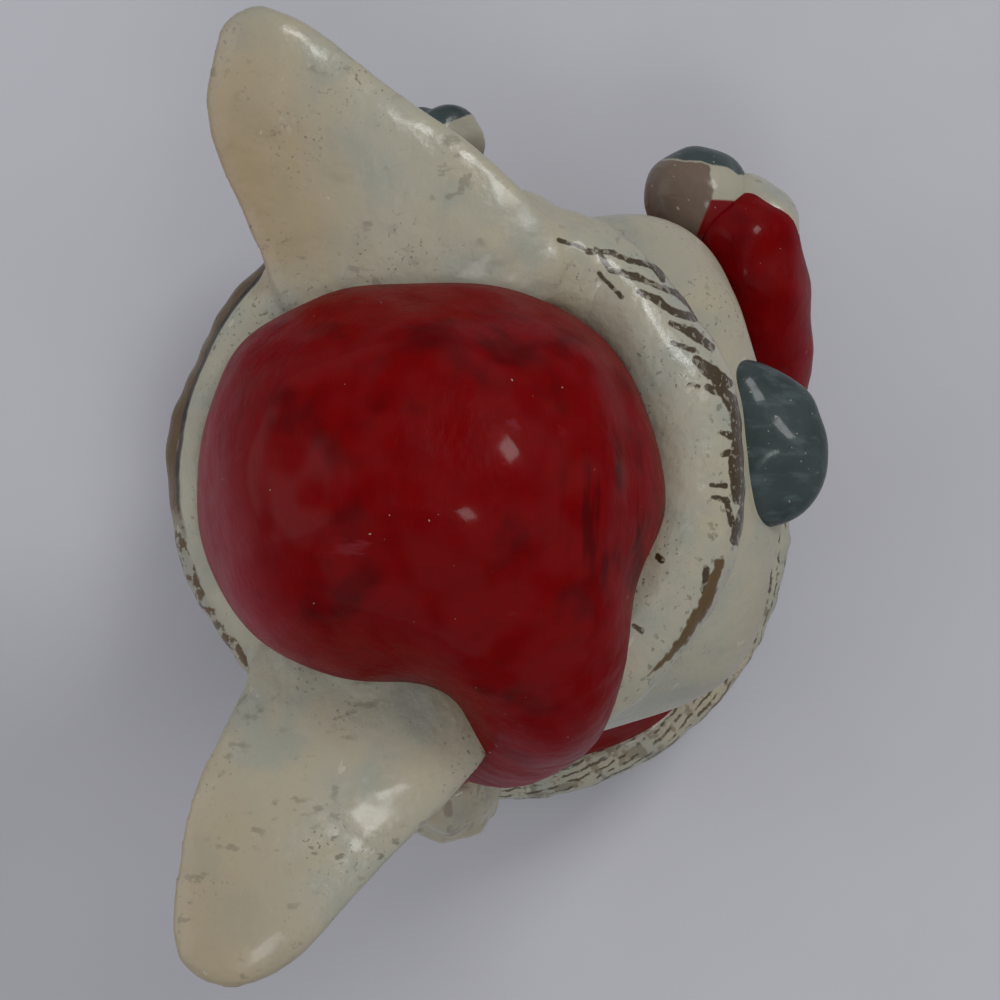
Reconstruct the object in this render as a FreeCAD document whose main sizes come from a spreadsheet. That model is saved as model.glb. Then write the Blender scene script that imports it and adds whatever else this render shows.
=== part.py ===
"""Chalkware figure of a standing animal in a red cap and a fur-edged coat.

The figure stands on the floor at z = 0 with its front towards -Y and its left
hand towards +X. Hollow plaster castings are seated on each other with plane
faces, a neck spigot and saddle cuts, and wires hold the pieces that stand out.
"""
import FreeCAD
import Part
import Sketcher
import os
import re

# Driving sizes in millimetres; the yaw is in degrees
SIZES = {
    # Plaster walls, wires and play
    "wall": 7.0,
    "wire_radius": 1.2,
    "wire_play": 0.15,
    "spigot_play": 0.3,
    # Felt and plinth
    "felt_inset": 3.0,
    "felt_thickness": 1.5,
    "plinth_margin": 2.5,
    "plinth_height": 12.5,
    "plinth_rounding": 4.0,
    "pour_hole_radius": 15.0,
    # Coat casting: a bell over a narrower core
    "hem_overhang": 21.5,
    "core_height": 28.0,
    "coat_radius": 75.5,
    "coat_height": 96.0,
    "spigot_radius": 22.0,
    "spigot_height": 14.0,
    # Fur edging
    "hem_roll_radius": 7.5,
    "hem_rise": 8.0,
    "front_edging_width": 17.0,
    "front_edging_thickness": 4.0,
    # Feet
    "foot_half_width": 20.0,
    "foot_half_length": 28.0,
    "foot_height": 22.0,
    "foot_spread": 25.0,
    "foot_setback": 11.0,
    "toe_radius": 8.0,
    # Head, turned a little to its left
    "head_yaw": 7.0,
    "head_radius": 67.0,
    "head_height": 65.0,
    "head_forward": 8.0,
    "cheek_radius": 30.0,
    "cheek_half_height": 24.0,
    "cheek_spread": 34.0,
    "cheek_forward": 43.0,
    "cheek_rise": 22.0,
    "muzzle_half_width": 30.0,
    "muzzle_half_length": 27.0,
    "muzzle_half_height": 18.0,
    "muzzle_forward": 51.0,
    "eye_half_width": 8.0,
    "eye_half_depth": 6.0,
    "eye_half_height": 10.0,
    "eye_spread": 20.0,
    "eye_rise": 46.0,
    "nose_half_width": 21.5,
    "nose_half_length": 16.0,
    "nose_half_height": 11.0,
    "nose_rise": 31.0,
    # Cap
    "brim_radius": 57.0,
    "brim_roll_radius": 13.5,
    "brim_rise": 11.0,
    "crown_half_width": 48.5,
    "crown_half_length": 55.5,
    "crown_half_height": 61.0,
    "crown_rise": 25.0,
    "crown_shift_x": -3.0,
    "crown_shift_y": 4.5,
    "cap_tail_radius": 30.0,
    "pom_pom_radius": 15.0,
    # Ears
    "ear_root_depth": 5.5,
    "ear_left_length": 69.5,
    "ear_right_length": 76.0,
    "ear_left_half_width": 36.0,
    "ear_right_half_width": 33.0,
    "ear_half_thickness": 6.5,
    "ear_sweep": 51.0,
    "ear_rise": 26.0,
    "ear_lift": 9.0,
    "ear_wire_stub": 5.5,
    "ear_wire_length": 30.0,
    "ear_wire_spacing": 22.0,
    # Arms and tail
    "cuff_step": 0.9,
    "tail_radius": 13.0,
}

# Radii and levels that several pieces share, as rules over the sizes
CORE = "(coat_radius - hem_overhang)"
PLINTH = "(coat_radius + plinth_margin)"
PLINTH_TOP = "(felt_thickness + plinth_height)"
COAT_BOTTOM = f"({PLINTH_TOP} + core_height)"
NECK = f"({COAT_BOTTOM} + coat_height)"
BRIM_SEAT = f"({NECK} + head_height)"
CROWN_LEVEL = f"({BRIM_SEAT} + crown_rise)"
EAR_LEVEL = f"({BRIM_SEAT} + ear_rise)"

# Coat rings: height share, radius share
COAT_SHARES = [(0.0, 1.0), (0.2, 0.955), (0.4, 0.85), (0.6, 0.745), (0.79, 0.675), (0.92, 0.6), (1.0, 0.46)]
# Head rings: height share, radius share, forward share
HEAD_SHARES = [
    (0.0, 0.52, 0.5),
    (0.12, 0.8, 0.8),
    (0.3, 0.97, 1.0),
    (0.5, 1.0, 0.95),
    (0.72, 0.955, 0.5),
    (0.88, 0.9, 0.2),
    (1.0, 0.84, 0.1),
]
# Cap tail, which lies on the head: share of the head's radius along X and Y, of its height, then of the tail's radius
CAP_TAIL_SHARES = [
    (-0.182, -0.148, 1.754, 1.0),
    (-0.537, -0.276, 1.631, 0.833),
    (-0.761, -0.313, 1.431, 0.65),
    (-0.891, -0.209, 1.169, 0.53),
    (-0.928, 0.0, 0.862, 0.4),
    (-1.036, 0.116, 0.423, 0.28),
]
POM_POM_SHARES = (-1.131, 0.116, 0.215)
POM_POM_AIM_SHARES = (1.0, 0.0, 0.0)
# Ears: reach share, sweep share, half-width share, thickness share
EAR_LEFT_SHARES = [
    (0.0, 0.12, 1.05, 1.0),
    (0.086, 0.167, 1.01, 1.0),
    (0.317, 0.284, 0.99, 1.0),
    (0.55, 0.51, 0.845, 0.92),
    (0.745, 0.71, 0.617, 0.84),
    (0.922, 0.84, 0.356, 0.66),
    (1.0, 0.89, 0.13, 0.4),
]
EAR_RIGHT_SHARES = [
    (0.0, 0.47, 0.7, 1.0),
    (0.14, 0.44, 0.9, 1.0),
    (0.27, 0.47, 1.0, 1.0),
    (0.43, 0.62, 0.94, 0.92),
    (0.62, 0.785, 0.775, 0.84),
    (0.77, 0.9, 0.6, 0.76),
    (0.9, 0.975, 0.43, 0.62),
    (1.0, 1.01, 0.15, 0.4),
]
EAR_ROOT_SWEEP_SHARE = 0.26
# Limbs seated on the coat: share of the coat's radius along X and Y, of its height, then of the limb's radius
UPPER_ARM_SHARES = [(0.583, -0.212, 0.833, 1.06), (0.517, -0.591, 0.731, 1.04), (0.397, -0.9, 0.6875, 1.0)]
FOREARM_SHARES = [
    (0.397, -0.9, 0.6875, 1.0),
    (0.609, -0.954, 0.823, 0.91),
    (0.781, -0.943, 0.926, 0.86),
    (0.907, -0.881, 0.9375, 0.8),
]
CUFF_LEFT_SHARES = [(0.894, -0.887, 0.9375, 0.79), (0.93, -0.863, 0.935, 0.85), (0.967, -0.838, 0.932, 0.79)]
ARM_RIGHT_SHARES = [
    (-0.53, -0.181, 0.833, 1.0),
    (-0.621, -0.287, 0.699, 0.95),
    (-0.609, -0.427, 0.571, 0.9),
    (-0.53, -0.608, 0.527, 0.8),
    (-0.439, -0.723, 0.5125, 0.75),
]
CUFF_RIGHT_SHARES = [(-0.445, -0.714, 0.5125, 0.725), (-0.402, -0.755, 0.5125, 0.775), (-0.359, -0.788, 0.5125, 0.725)]
TAIL_SHARES = [
    (0.48, 0.53, 0.333, 0.75),
    (0.766, 0.609, 0.354, 0.95),
    (1.051, 0.487, 0.401, 1.05),
    (1.227, 0.317, 0.458, 1.0),
    (1.298, 0.171, 0.521, 0.82),
]
# Hands: their middles in the same shares, and the way that they point
HAND_SHARES = {"left": (1.0225, -0.755, 0.922), "right": (-0.225, -0.805, 0.5125)}
HAND_AIM_SHARES = {"left": (0.5, 0.86, 0.05), "right": (0.9, -0.4, 0.0)}
# Wires: their ends in the same shares
SHOULDER_WIRE_SHARES = [
    ((0.551, -0.2, 0.819), (0.742, -0.277, 0.819)),
    ((-0.554, -0.189, 0.804), (-0.682, -0.238, 0.804)),
]
WRIST_WIRE_SHARES = [
    ((0.808, -0.921, 0.927), (1.06, -0.742, 0.927)),
    ((-0.487, -0.657, 0.518), (-0.305, -0.788, 0.5125)),
]
TAIL_WIRE_SHARES = ((0.571, 0.576, 0.342), (0.87, 0.579, 0.37))
# The balls that close an elbow and a tail stand a little proud; the elbow's axis lies square to both limbs
END_BALL_SHARE = 1.03
SLEEVE_SHARE = 0.212
SLEEVE = f"({SLEEVE_SHARE} * coat_radius)"
HAND_HALF_SHARES = (0.1656, 0.1695, 0.192)
ELBOW_AIM_SHARES = (0.61, -0.1, -0.78)
# Toes: spread and setback in toe radii, and the pom-pom's wire along its way to the cap's end
TOE_SPREAD_SHARE = 1.4
TOE_SETBACK_SHARES = {-1: 1.2, 0: 0.9, 1: 1.2}
POM_POM_WIRE_SHARES = (1.6, 0.8)

doc = FreeCAD.newDocument("ChalkwareFigure")
sheet = doc.addObject("Spreadsheet::Sheet", "Sizes")
nodes = []


def fill_sheet():
    """Write each size to a cell of its own and give the cell the size's name."""
    for row, (name, value) in enumerate(SIZES.items(), start=1):
        sheet.set(f"A{row}", name)
        sheet.set(f"B{row}", str(value))
        sheet.setAlias(f"B{row}", name)
    doc.recompute()


def cells(rule):
    """Turn the size names in a rule into references to the sheet's cells."""
    return re.sub("[a-z_]+", lambda word: f"Sizes.{word[0]}" if word[0] in SIZES else word[0], rule)


def bind(item, **rules):
    """Tie an object's properties to the sheet; two underscores stand for a dot."""
    for name, rule in rules.items():
        item.setExpression(name.replace("__", "."), cells(rule))
    return item


def place(item, x="0", y="0", z="0"):
    """Tie an object's position to the sheet."""
    return bind(item, Placement__Base__x=x, Placement__Base__y=y, Placement__Base__z=z)


def ellipsoid(name, half_sizes, centre):
    """Make an ellipsoid from its half sizes along X, Y and Z and its centre."""
    wide, deep, tall = half_sizes
    item = bind(doc.addObject("Part::Ellipsoid", name), Radius1=tall, Radius2=wide, Radius3=deep)
    return place(item, *centre)


def ball(name, radius, centre):
    """Make a sphere."""
    return place(bind(doc.addObject("Part::Sphere", name), Radius=radius), *centre)


def aim(item, direction):
    """Point an object's own upright axis along a direction."""
    item.Placement.Rotation = FreeCAD.Rotation(FreeCAD.Vector(0, 0, 1), FreeCAD.Vector(*direction))
    return item


def ring(name, stations):
    """Make level circles from (x, y, z, radius) rules."""
    circles = [doc.addObject("Part::Circle", f"{name}Ring{number}") for number in range(len(stations))]
    for circle, (x, y, z, radius) in zip(circles, stations):
        place(bind(circle, Radius=radius), x, y, z)
    return circles


def loft(name, sections):
    """Skin a row of closed sections into one solid."""
    item = doc.addObject("Part::Loft", name)
    item.Sections = sections
    item.Solid = True
    return item


def turned(name, stations):
    """Make an upright round form from level circles."""
    return loft(name, ring(name, stations))


def limb(name, stations):
    """Make a round limb whose sections stand square to its path."""
    circles = ring(name, stations)
    doc.recompute()
    path = [circle.Placement.Base for circle in circles]
    for number, circle in enumerate(circles):
        run = path[min(number + 1, len(path) - 1)] - path[max(number - 1, 0)]
        circle.Placement.Rotation = FreeCAD.Rotation(FreeCAD.Vector(0, 0, 1), run)
    return loft(name, circles)


def rod(name, start, end, radius):
    """Make a straight round rod between two points."""
    return limb(name, [(*start, radius), (*end, radius)])


def joined(name, parts):
    """Fuse solids that are cast as one piece."""
    item = doc.addObject("Part::MultiFuse", name)
    item.Shapes = parts
    return item


def less(name, base, *tools):
    """Cut solids out of a base, one after another."""
    for number, tool in enumerate(tools):
        cut = doc.addObject("Part::Cut", f"{name}Cut{number}")
        cut.Base = base
        cut.Tool = tool
        base = cut
    return base


def shared(name, base, tool):
    """Keep what two solids share."""
    item = doc.addObject("Part::Common", name)
    item.Base = base
    item.Tool = tool
    return item


def above(name, base, level):
    """Keep what lies above a level."""
    side = "4 * coat_radius"
    block = bind(doc.addObject("Part::Box", f"{name}Block"), Length=side, Width=side, Height=side)
    place(block, f"-({side}) / 2", f"-({side}) / 2", level)
    return shared(name, base, block)


def between(start, end, share):
    """Give the rules of the point a share of the way from start to end."""
    return tuple(f"({a}) + {share} * (({b}) - ({a}))" for a, b in zip(start, end))


def with_yaw(item):
    """Turn a piece of the head about the upright axis by the head's yaw."""
    item.Placement.Rotation = FreeCAD.Rotation(FreeCAD.Vector(0, 0, 1), SIZES["head_yaw"])
    return bind(item, Placement__Rotation__Angle="head_yaw * 1 deg")


def node(item, name):
    """Name a finished piece after its node and keep it for the export."""
    item.Label = name
    nodes.append(item)
    return item


# Felt and plinth


def origin_plane(body, role):
    """Find one of a body's own origin planes."""
    return next(item for item in body.Origin.OriginFeatures if item.Role == role)


def pad_disc(body, height, *radii):
    """Pad a sketch of concentric circles in a body; their radii are rules."""
    sketch = body.newObject("Sketcher::SketchObject", f"{body.Name}Sketch")
    sketch.AttachmentSupport = [(origin_plane(body, "XY_Plane"), "")]
    sketch.MapMode = "FlatFace"
    for radius in radii:
        start = Part.Circle(FreeCAD.Vector(0, 0, 0), FreeCAD.Vector(0, 0, 1), SIZES["pour_hole_radius"])
        circle = sketch.addGeometry(start, False)
        sketch.addConstraint(Sketcher.Constraint("Coincident", circle, 3, -1, 1))
        rule = sketch.addConstraint(Sketcher.Constraint("Radius", circle, SIZES["pour_hole_radius"]))
        bind(sketch, **{f"Constraints[{rule}]": radius})
    pad = body.newObject("PartDesign::Pad", f"{body.Name}Pad")
    pad.Profile = sketch
    return bind(pad, Length=height)


def make_base():
    """Make the plinth with its pour hole and rounded edge, and the felt below it."""
    plinth = doc.addObject("PartDesign::Body", "Plinth")
    slab = pad_disc(plinth, "plinth_height", PLINTH, "pour_hole_radius")
    place(plinth, z="felt_thickness")
    doc.recompute()
    top = slab.Shape.BoundBox.ZMax
    rims = [n for n, edge in enumerate(slab.Shape.Edges, 1) if edge.BoundBox.ZMin == edge.BoundBox.ZMax == top]
    rim = max(rims, key=lambda n: slab.Shape.Edges[n - 1].Length)
    rounding = plinth.newObject("PartDesign::Fillet", "PlinthRounding")
    rounding.Base = (slab, [f"Edge{rim}"])
    bind(rounding, Radius="plinth_rounding")
    node(plinth, "base_plinth")

    felt = doc.addObject("PartDesign::Body", "Felt")
    pad_disc(felt, "felt_thickness", f"{PLINTH} - felt_inset")
    node(felt, "base_felt")


# Coat


def coat_rings(inset="0", grown="0"):
    """List the coat's rings, drawn in from every side or grown outwards."""
    rise = f"(coat_height - 2 * {inset})"
    return [
        ("0", "0", f"{COAT_BOTTOM} + {inset} + {height} * {rise}", f"{radius} * coat_radius - {inset} + {grown}")
        for height, radius in COAT_SHARES
    ]


def middle(level):
    """Give a point on the upright axis."""
    return ("0", "0", level)


def make_coat():
    """Make the coat's outer forms, which the pieces around it are cut by."""
    shell = turned("CoatShell", coat_rings())
    core = rod("Core", middle(PLINTH_TOP), middle(f"{COAT_BOTTOM} + wall"), CORE)
    spigot = rod("Spigot", middle(f"{NECK} - wall"), middle(f"{NECK} + spigot_height"), "spigot_radius")
    return joined("CoatOutside", [shell, core, spigot])


def hollow_coat(outside, holes):
    """Hollow the coat casting, bore its neck and foot, and drill its wire holes."""
    hollow = turned("CoatHollow", coat_rings(inset="wall"))
    low = middle(f"{PLINTH_TOP} + wall")
    core_hollow = rod("CoreHollow", low, middle(f"{COAT_BOTTOM} + 2 * wall"), f"{CORE} - wall")
    bore = rod("Bore", middle(PLINTH_TOP), middle(f"{NECK} + spigot_height"), "pour_hole_radius")
    node(less("CoatCasting", outside, hollow, core_hollow, bore, *holes), "body_casting")


def make_edging(coat):
    """Make the fur roll round the hem and the fur strip down the front, which a hand lies on."""
    roll = bind(doc.addObject("Part::Torus", "HemRoll"), Radius2="hem_roll_radius")
    bind(roll, Radius1="coat_radius - hem_roll_radius / 4")
    place(roll, z=f"{COAT_BOTTOM} + hem_rise")
    node(less("HemTrim", roll, coat), "coat_hem_trim")

    thicker = turned("CoatThicker", coat_rings(grown="front_edging_thickness"))
    strip = bind(doc.addObject("Part::Box", "FrontStrip"), Length="front_edging_width")
    bind(strip, Width="2 * coat_radius", Height="coat_height")
    place(strip, "-front_edging_width / 2", "-2 * coat_radius", f"{COAT_BOTTOM} + hem_rise")
    edging = shared("FrontEdging", thicker, strip)
    node(less("FrontTrim", edging, coat, roll), "coat_front_trim")
    return edging


def make_feet(coat):
    """Make the feet, flat on the plinth and seated against the core."""
    for side, name in ((1, "left"), (-1, "right")):
        x = f"{side} * foot_spread"
        y = f"foot_setback - {CORE}"
        half_sizes = ("foot_half_width", "foot_half_length", "foot_height")
        sole = ellipsoid(f"Foot{name}Sole", half_sizes, (x, y, PLINTH_TOP))
        toes = []
        for step, setback in TOE_SETBACK_SHARES.items():
            toe_x = f"{x} + {step} * {TOE_SPREAD_SHARE} * toe_radius"
            toe_y = f"{y} - foot_half_length + {setback} * toe_radius"
            toe = (toe_x, toe_y, f"{PLINTH_TOP} + toe_radius / 2")
            toes.append(ball(f"Foot{name}Toe{step + 1}", "toe_radius", toe))
        paw = above(f"Foot{name}Paw", joined(f"Foot{name}", [sole] + toes), PLINTH_TOP)
        node(less(f"Foot{name}Cut", paw, coat), f"foot_{name}")


# Wires


def make_wires(name, *ends):
    """Make a group of wires from their end points, and the holes that they lie in."""
    wires = [rod(f"{name}Wire{n}", start, end, "wire_radius") for n, (start, end) in enumerate(ends)]
    holes = [rod(f"{name}Hole{n}", start, end, "wire_radius + wire_play") for n, (start, end) in enumerate(ends)]
    if len(wires) == 1:
        return wires[0], holes
    group = doc.addObject("Part::Compound", f"{name}Wires")
    group.Links = wires
    return group, holes


# Arms and tail


def on_coat(x, y, height):
    """Give the rules of a point that keeps its place on the coat."""
    return (f"{x} * coat_radius", f"{y} * coat_radius", f"{COAT_BOTTOM} + {height} * coat_height")


def along(shares, radius, step="0"):
    """List the stations of a limb from its table of shares; the step is added to each radius."""
    return [(*on_coat(*row[:-1]), f"{row[-1]} * {radius} + {step}") for row in shares]


def make_arms(coat, edging, head):
    """Make both arms with their cuffs and hands, and give back the holes in the coat."""
    upper = limb("UpperArmLeft", along(UPPER_ARM_SHARES, SLEEVE))
    forearm = limb("ForearmLeft", along(FOREARM_SHARES, SLEEVE))
    joint = ball("ElbowLeft", f"{END_BALL_SHARE} * {SLEEVE}", on_coat(*FOREARM_SHARES[0][:-1]))
    aim(joint, ELBOW_AIM_SHARES)
    arms = {
        "left": joined("ArmLeft", [upper, joint, forearm]),
        "right": limb("ArmRight", along(ARM_RIGHT_SHARES, SLEEVE)),
    }
    cuffs = {
        "left": limb("CuffLeft", along(CUFF_LEFT_SHARES, SLEEVE, "cuff_step")),
        "right": limb("CuffRight", along(CUFF_RIGHT_SHARES, SLEEVE, "cuff_step")),
    }
    shoulders, shoulder_holes = make_wires("Shoulder", *wire_ends(SHOULDER_WIRE_SHARES))
    wrists, wrist_holes = make_wires("Wrist", *wire_ends(WRIST_WIRE_SHARES))
    half_sizes = [f"{share} * coat_radius" for share in HAND_HALF_SHARES]
    for side in ("left", "right"):
        form = aim(ellipsoid(f"Hand{side}Form", half_sizes, on_coat(*HAND_SHARES[side])), HAND_AIM_SHARES[side])
        node(less(f"Cuff{side}", cuffs[side], coat, head, *wrist_holes), f"cuff_{side}")
        node(less(f"Arm{side}", arms[side], coat, cuffs[side], *shoulder_holes, *wrist_holes), f"arm_{side}")
        node(less(f"Hand{side}", form, coat, edging, head, cuffs[side], arms[side], *wrist_holes), f"hand_{side}")
    node(shoulders, "shoulder_wires")
    node(wrists, "wrist_wires")
    return shoulder_holes


def wire_ends(shares):
    """Give the rules of the ends of each wire in a table of shares."""
    return [(on_coat(*start), on_coat(*end)) for start, end in shares]


def make_tail(coat):
    """Make the tail that curls forward by the left hip, and give back its hole in the coat."""
    brush = limb("TailBrush", along(TAIL_SHARES, "tail_radius"))
    *tip, share = TAIL_SHARES[-1]
    end = ball("TailTip", f"{share} * {END_BALL_SHARE} * tail_radius", on_coat(*tip))
    wire, holes = make_wires("Tail", *wire_ends([TAIL_WIRE_SHARES]))
    node(less("Tail", joined("TailForm", [brush, end]), coat, *holes), "tail")
    node(wire, "tail_wire")
    return holes


# Head


def head_rings(inset="0"):
    """List the head's rings, drawn in from every side."""
    rise = f"(head_height - spigot_height - 2 * {inset})" if inset != "0" else "head_height"
    foot = f"({NECK} + spigot_height + {inset})" if inset != "0" else NECK
    return [
        ("0", f"-{forward} * head_forward", f"{foot} + {height} * {rise}", f"{radius} * head_radius - {inset}")
        for height, radius, forward in HEAD_SHARES
    ]


def make_head():
    """Make the hollow head with its cheeks, muzzle, eyes and neck socket, and the nose."""
    forms = [turned("Skull", head_rings())]
    cheek = ("cheek_radius", "cheek_radius", "cheek_half_height")
    eye = ("eye_half_width", "eye_half_depth", "eye_half_height")
    for side in (1, -1):
        name = "Left" if side == 1 else "Right"
        level = f"{NECK} + cheek_rise"
        forms.append(ellipsoid(f"Cheek{name}", cheek, (f"{side} * cheek_spread", "-cheek_forward", level)))
        eye_at = (f"{side} * eye_spread", "-head_radius + eye_half_depth", f"{NECK} + eye_rise")
        forms.append(ellipsoid(f"Eye{name}", eye, eye_at))
    muzzle = ("muzzle_half_width", "muzzle_half_length", "muzzle_half_height")
    forms.append(ellipsoid("Muzzle", muzzle, ("0", "-muzzle_forward", f"{NECK} + cheek_rise")))
    outside = joined("HeadOutside", forms)
    hollow = turned("HeadHollow", head_rings(inset="wall"))
    socket_top = middle(f"{NECK} + spigot_height + spigot_play")
    socket = rod("NeckSocket", middle(NECK), socket_top, "spigot_radius + spigot_play")
    bore = rod("HeadBore", middle(NECK), middle(f"{NECK} + spigot_height + 2 * wall"), "pour_hole_radius")
    node(with_yaw(less("Head", outside, hollow, socket, bore)), "head_casting")

    nose = ("nose_half_width", "nose_half_length", "nose_half_height")
    pad = ellipsoid("NoseForm", nose, ("0", "-head_radius - head_forward", f"{NECK} + nose_rise"))
    node(with_yaw(less("Nose", pad, outside)), "nose_pad")
    solid = doc.addObject("Part::Compound", "HeadSolid")
    solid.Links = [outside]
    return with_yaw(solid)


# Cap and ears


def by_head(x, y, height):
    """Give the rules of a point that keeps its place beside the head."""
    return (f"{x} * head_radius", f"{y} * head_radius", f"{NECK} + {height} * head_height")


def make_cap(head):
    """Make the brim roll, the crown with its drooping end, and the pom-pom."""
    roll = bind(doc.addObject("Part::Torus", "BrimRoll"), Radius1="brim_radius", Radius2="brim_roll_radius")
    place(roll, z=f"{BRIM_SEAT} + brim_rise")
    brim = node(above("Brim", roll, BRIM_SEAT), "cap_brim")

    half_sizes = ("crown_half_width", "crown_half_length", "crown_half_height")
    middle_of_crown = ("crown_shift_x", "crown_shift_y", CROWN_LEVEL)
    dome = ellipsoid("CrownDome", half_sizes, middle_of_crown)
    inner = ellipsoid("CrownInner", tuple(f"{size} - wall" for size in half_sizes), middle_of_crown)
    bowl = less("CrownBowl", above("CrownSeat", dome, BRIM_SEAT), inner)
    brim_hole = rod("BrimHole", middle(NECK), middle(f"{BRIM_SEAT} + brim_rise + brim_roll_radius"), "brim_radius")
    end_piece = limb("CapTail", [(*by_head(*row[:-1]), f"{row[-1]} * cap_tail_radius") for row in CAP_TAIL_SHARES])
    droop = less("CrownDroop", end_piece, inner, brim_hole)
    ear_wires, ear_holes = make_wires("Ear", *ear_wire_ends())
    pom_pom_at = by_head(*POM_POM_SHARES)
    tail_end = by_head(*CAP_TAIL_SHARES[-1][:-1])
    far, near = POM_POM_WIRE_SHARES
    wire, holes = make_wires("PomPom", (between(pom_pom_at, tail_end, far), between(tail_end, pom_pom_at, near)))
    cast = joined("CrownForm", [bowl, droop])
    crown = node(less("Crown", cast, brim, head, *ear_holes, *holes), "cap_crown")
    puff = aim(ball("PomPomPuff", "pom_pom_radius", pom_pom_at), POM_POM_AIM_SHARES)
    node(less("PomPom", puff, head, cast, *holes), "pom_pom")
    node(wire, "pom_pom_wire")
    node(ear_wires, "ear_wires")
    return brim, crown, ear_holes


def ear_wire_ends():
    """List the ends of the two wires in each ear."""
    level = f"{EAR_LEVEL} + wire_radius"
    ends = []
    for side in (1, -1):
        for step in (-0.5, 0.5):
            y = f"{EAR_ROOT_SWEEP_SHARE} * ear_sweep + {step} * ear_wire_spacing"
            start = f"crown_shift_x + {side} * (crown_half_width - wall - ear_wire_stub)"
            end = f"{start} + {side} * ear_wire_length"
            ends.append(((start, y, level), (end, y, level)))
    return ends


def make_ear(name, side, shares, brim, crown, holes):
    """Make one leaf ear from upright oval sections, saddled on the brim and the crown."""
    sections = []
    for number, (reach, sweep, width, thickness) in enumerate(shares):
        oval = doc.addObject("Part::Ellipse", f"Ear{name}Oval{number}")
        bind(oval, MajorRadius=f"{width} * ear_{name}_half_width", MinorRadius=f"{thickness} * ear_half_thickness")
        x = f"crown_shift_x + {side} * (crown_half_width - ear_root_depth + {reach} * ear_{name}_length)"
        place(oval, x, f"{sweep} * ear_sweep", f"{EAR_LEVEL} + {reach} * ear_lift")
        oval.Placement.Rotation = FreeCAD.Rotation(FreeCAD.Vector(1, 1, 1), 120)
        sections.append(oval)
    leaf = loft(f"Ear{name}Leaf", sections)
    node(less(f"Ear{name}", leaf, brim, crown, *holes), f"ear_{name}")


def check_and_export():
    """Stop on any failed object or shape, then write each node to its own file."""
    doc.recompute()
    failed = [item.Name for item in doc.Objects if {"Invalid", "Error"} & set(item.State)]
    bad = [item.Label for item in nodes if item.Shape.isNull() or not item.Shape.isValid() or not item.Shape.Solids]
    if failed or bad:
        raise RuntimeError(f"failed objects: {failed}, bad shapes: {bad}")
    os.makedirs("parts", exist_ok=True)
    for item in nodes:
        item.Shape.exportStep(f"parts/{item.Label}.step")
        print(item.Label, len(item.Shape.Solids), round(item.Shape.Volume), [round(v, 1) for v in box_of(item)])


def box_of(item):
    """List a piece's least and greatest coordinates."""
    box = item.Shape.BoundBox
    return [box.XMin, box.YMin, box.ZMin, box.XMax, box.YMax, box.ZMax]


fill_sheet()
make_base()
coat = make_coat()
edging = make_edging(coat)
make_feet(coat)
head = make_head()
coat_holes = make_arms(coat, edging, head) + make_tail(coat)
hollow_coat(coat, coat_holes)
brim, crown, ear_holes = make_cap(head)
make_ear("left", 1, EAR_LEFT_SHARES, brim, crown, ear_holes)
make_ear("right", -1, EAR_RIGHT_SHARES, brim, crown, ear_holes)
check_and_export()
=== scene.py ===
"""Dress the chalkware figure: cast each painted plaster piece and light it for a view from above.

Sizes are in millimetres in the figure's own frame, with the front towards -Y and the
figure's left hand towards +X. Meshes are handed to the scene in metres.
"""
import logging
import math
from collections.abc import Callable, Sequence
from dataclasses import dataclass
from enum import Enum
from typing import Any

import bpy
import numpy as np
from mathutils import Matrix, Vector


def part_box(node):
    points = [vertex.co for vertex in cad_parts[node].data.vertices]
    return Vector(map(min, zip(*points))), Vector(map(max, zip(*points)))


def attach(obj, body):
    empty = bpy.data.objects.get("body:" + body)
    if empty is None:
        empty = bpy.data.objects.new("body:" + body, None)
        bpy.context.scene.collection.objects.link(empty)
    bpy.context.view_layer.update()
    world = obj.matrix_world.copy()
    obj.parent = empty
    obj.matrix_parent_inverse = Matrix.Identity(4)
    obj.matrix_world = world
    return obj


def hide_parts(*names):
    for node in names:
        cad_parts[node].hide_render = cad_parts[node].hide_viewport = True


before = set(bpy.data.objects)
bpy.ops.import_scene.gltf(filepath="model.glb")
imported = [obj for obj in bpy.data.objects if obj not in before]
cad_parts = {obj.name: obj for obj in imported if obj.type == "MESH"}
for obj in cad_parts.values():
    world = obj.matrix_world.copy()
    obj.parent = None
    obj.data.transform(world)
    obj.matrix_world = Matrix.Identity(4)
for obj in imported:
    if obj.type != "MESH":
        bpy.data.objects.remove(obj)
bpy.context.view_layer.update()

import openvdb
from mathutils import Matrix, Vector

LOG = logging.getLogger("chalkware")
MM = 0.001
ACROSS, ALONG, UP = range(3)
TINY, FAR = 1e-6, 1e6
VARNISH_ROUGHNESS = 0.12
Points = np.ndarray
Triple = tuple[float, float, float]
Station = tuple[float, float, float, float]
Colour = tuple[float, float, float, float]


def paint(red: int, green: int, blue: int) -> Colour:
    """Give the scene's colour for a paint chip.

    Args:
        red, green, blue: the chip's screen values, 0 to 255.

    Returns:
        The linear colour with full opacity.
    """

    def linear(part: int) -> float:
        """Turn one screen value into a linear one."""
        share = part / 255
        return share / 12.92 if share <= 0.04045 else ((share + 0.055) / 1.055) ** 2.4

    return (linear(red), linear(green), linear(blue), 1.0)


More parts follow.
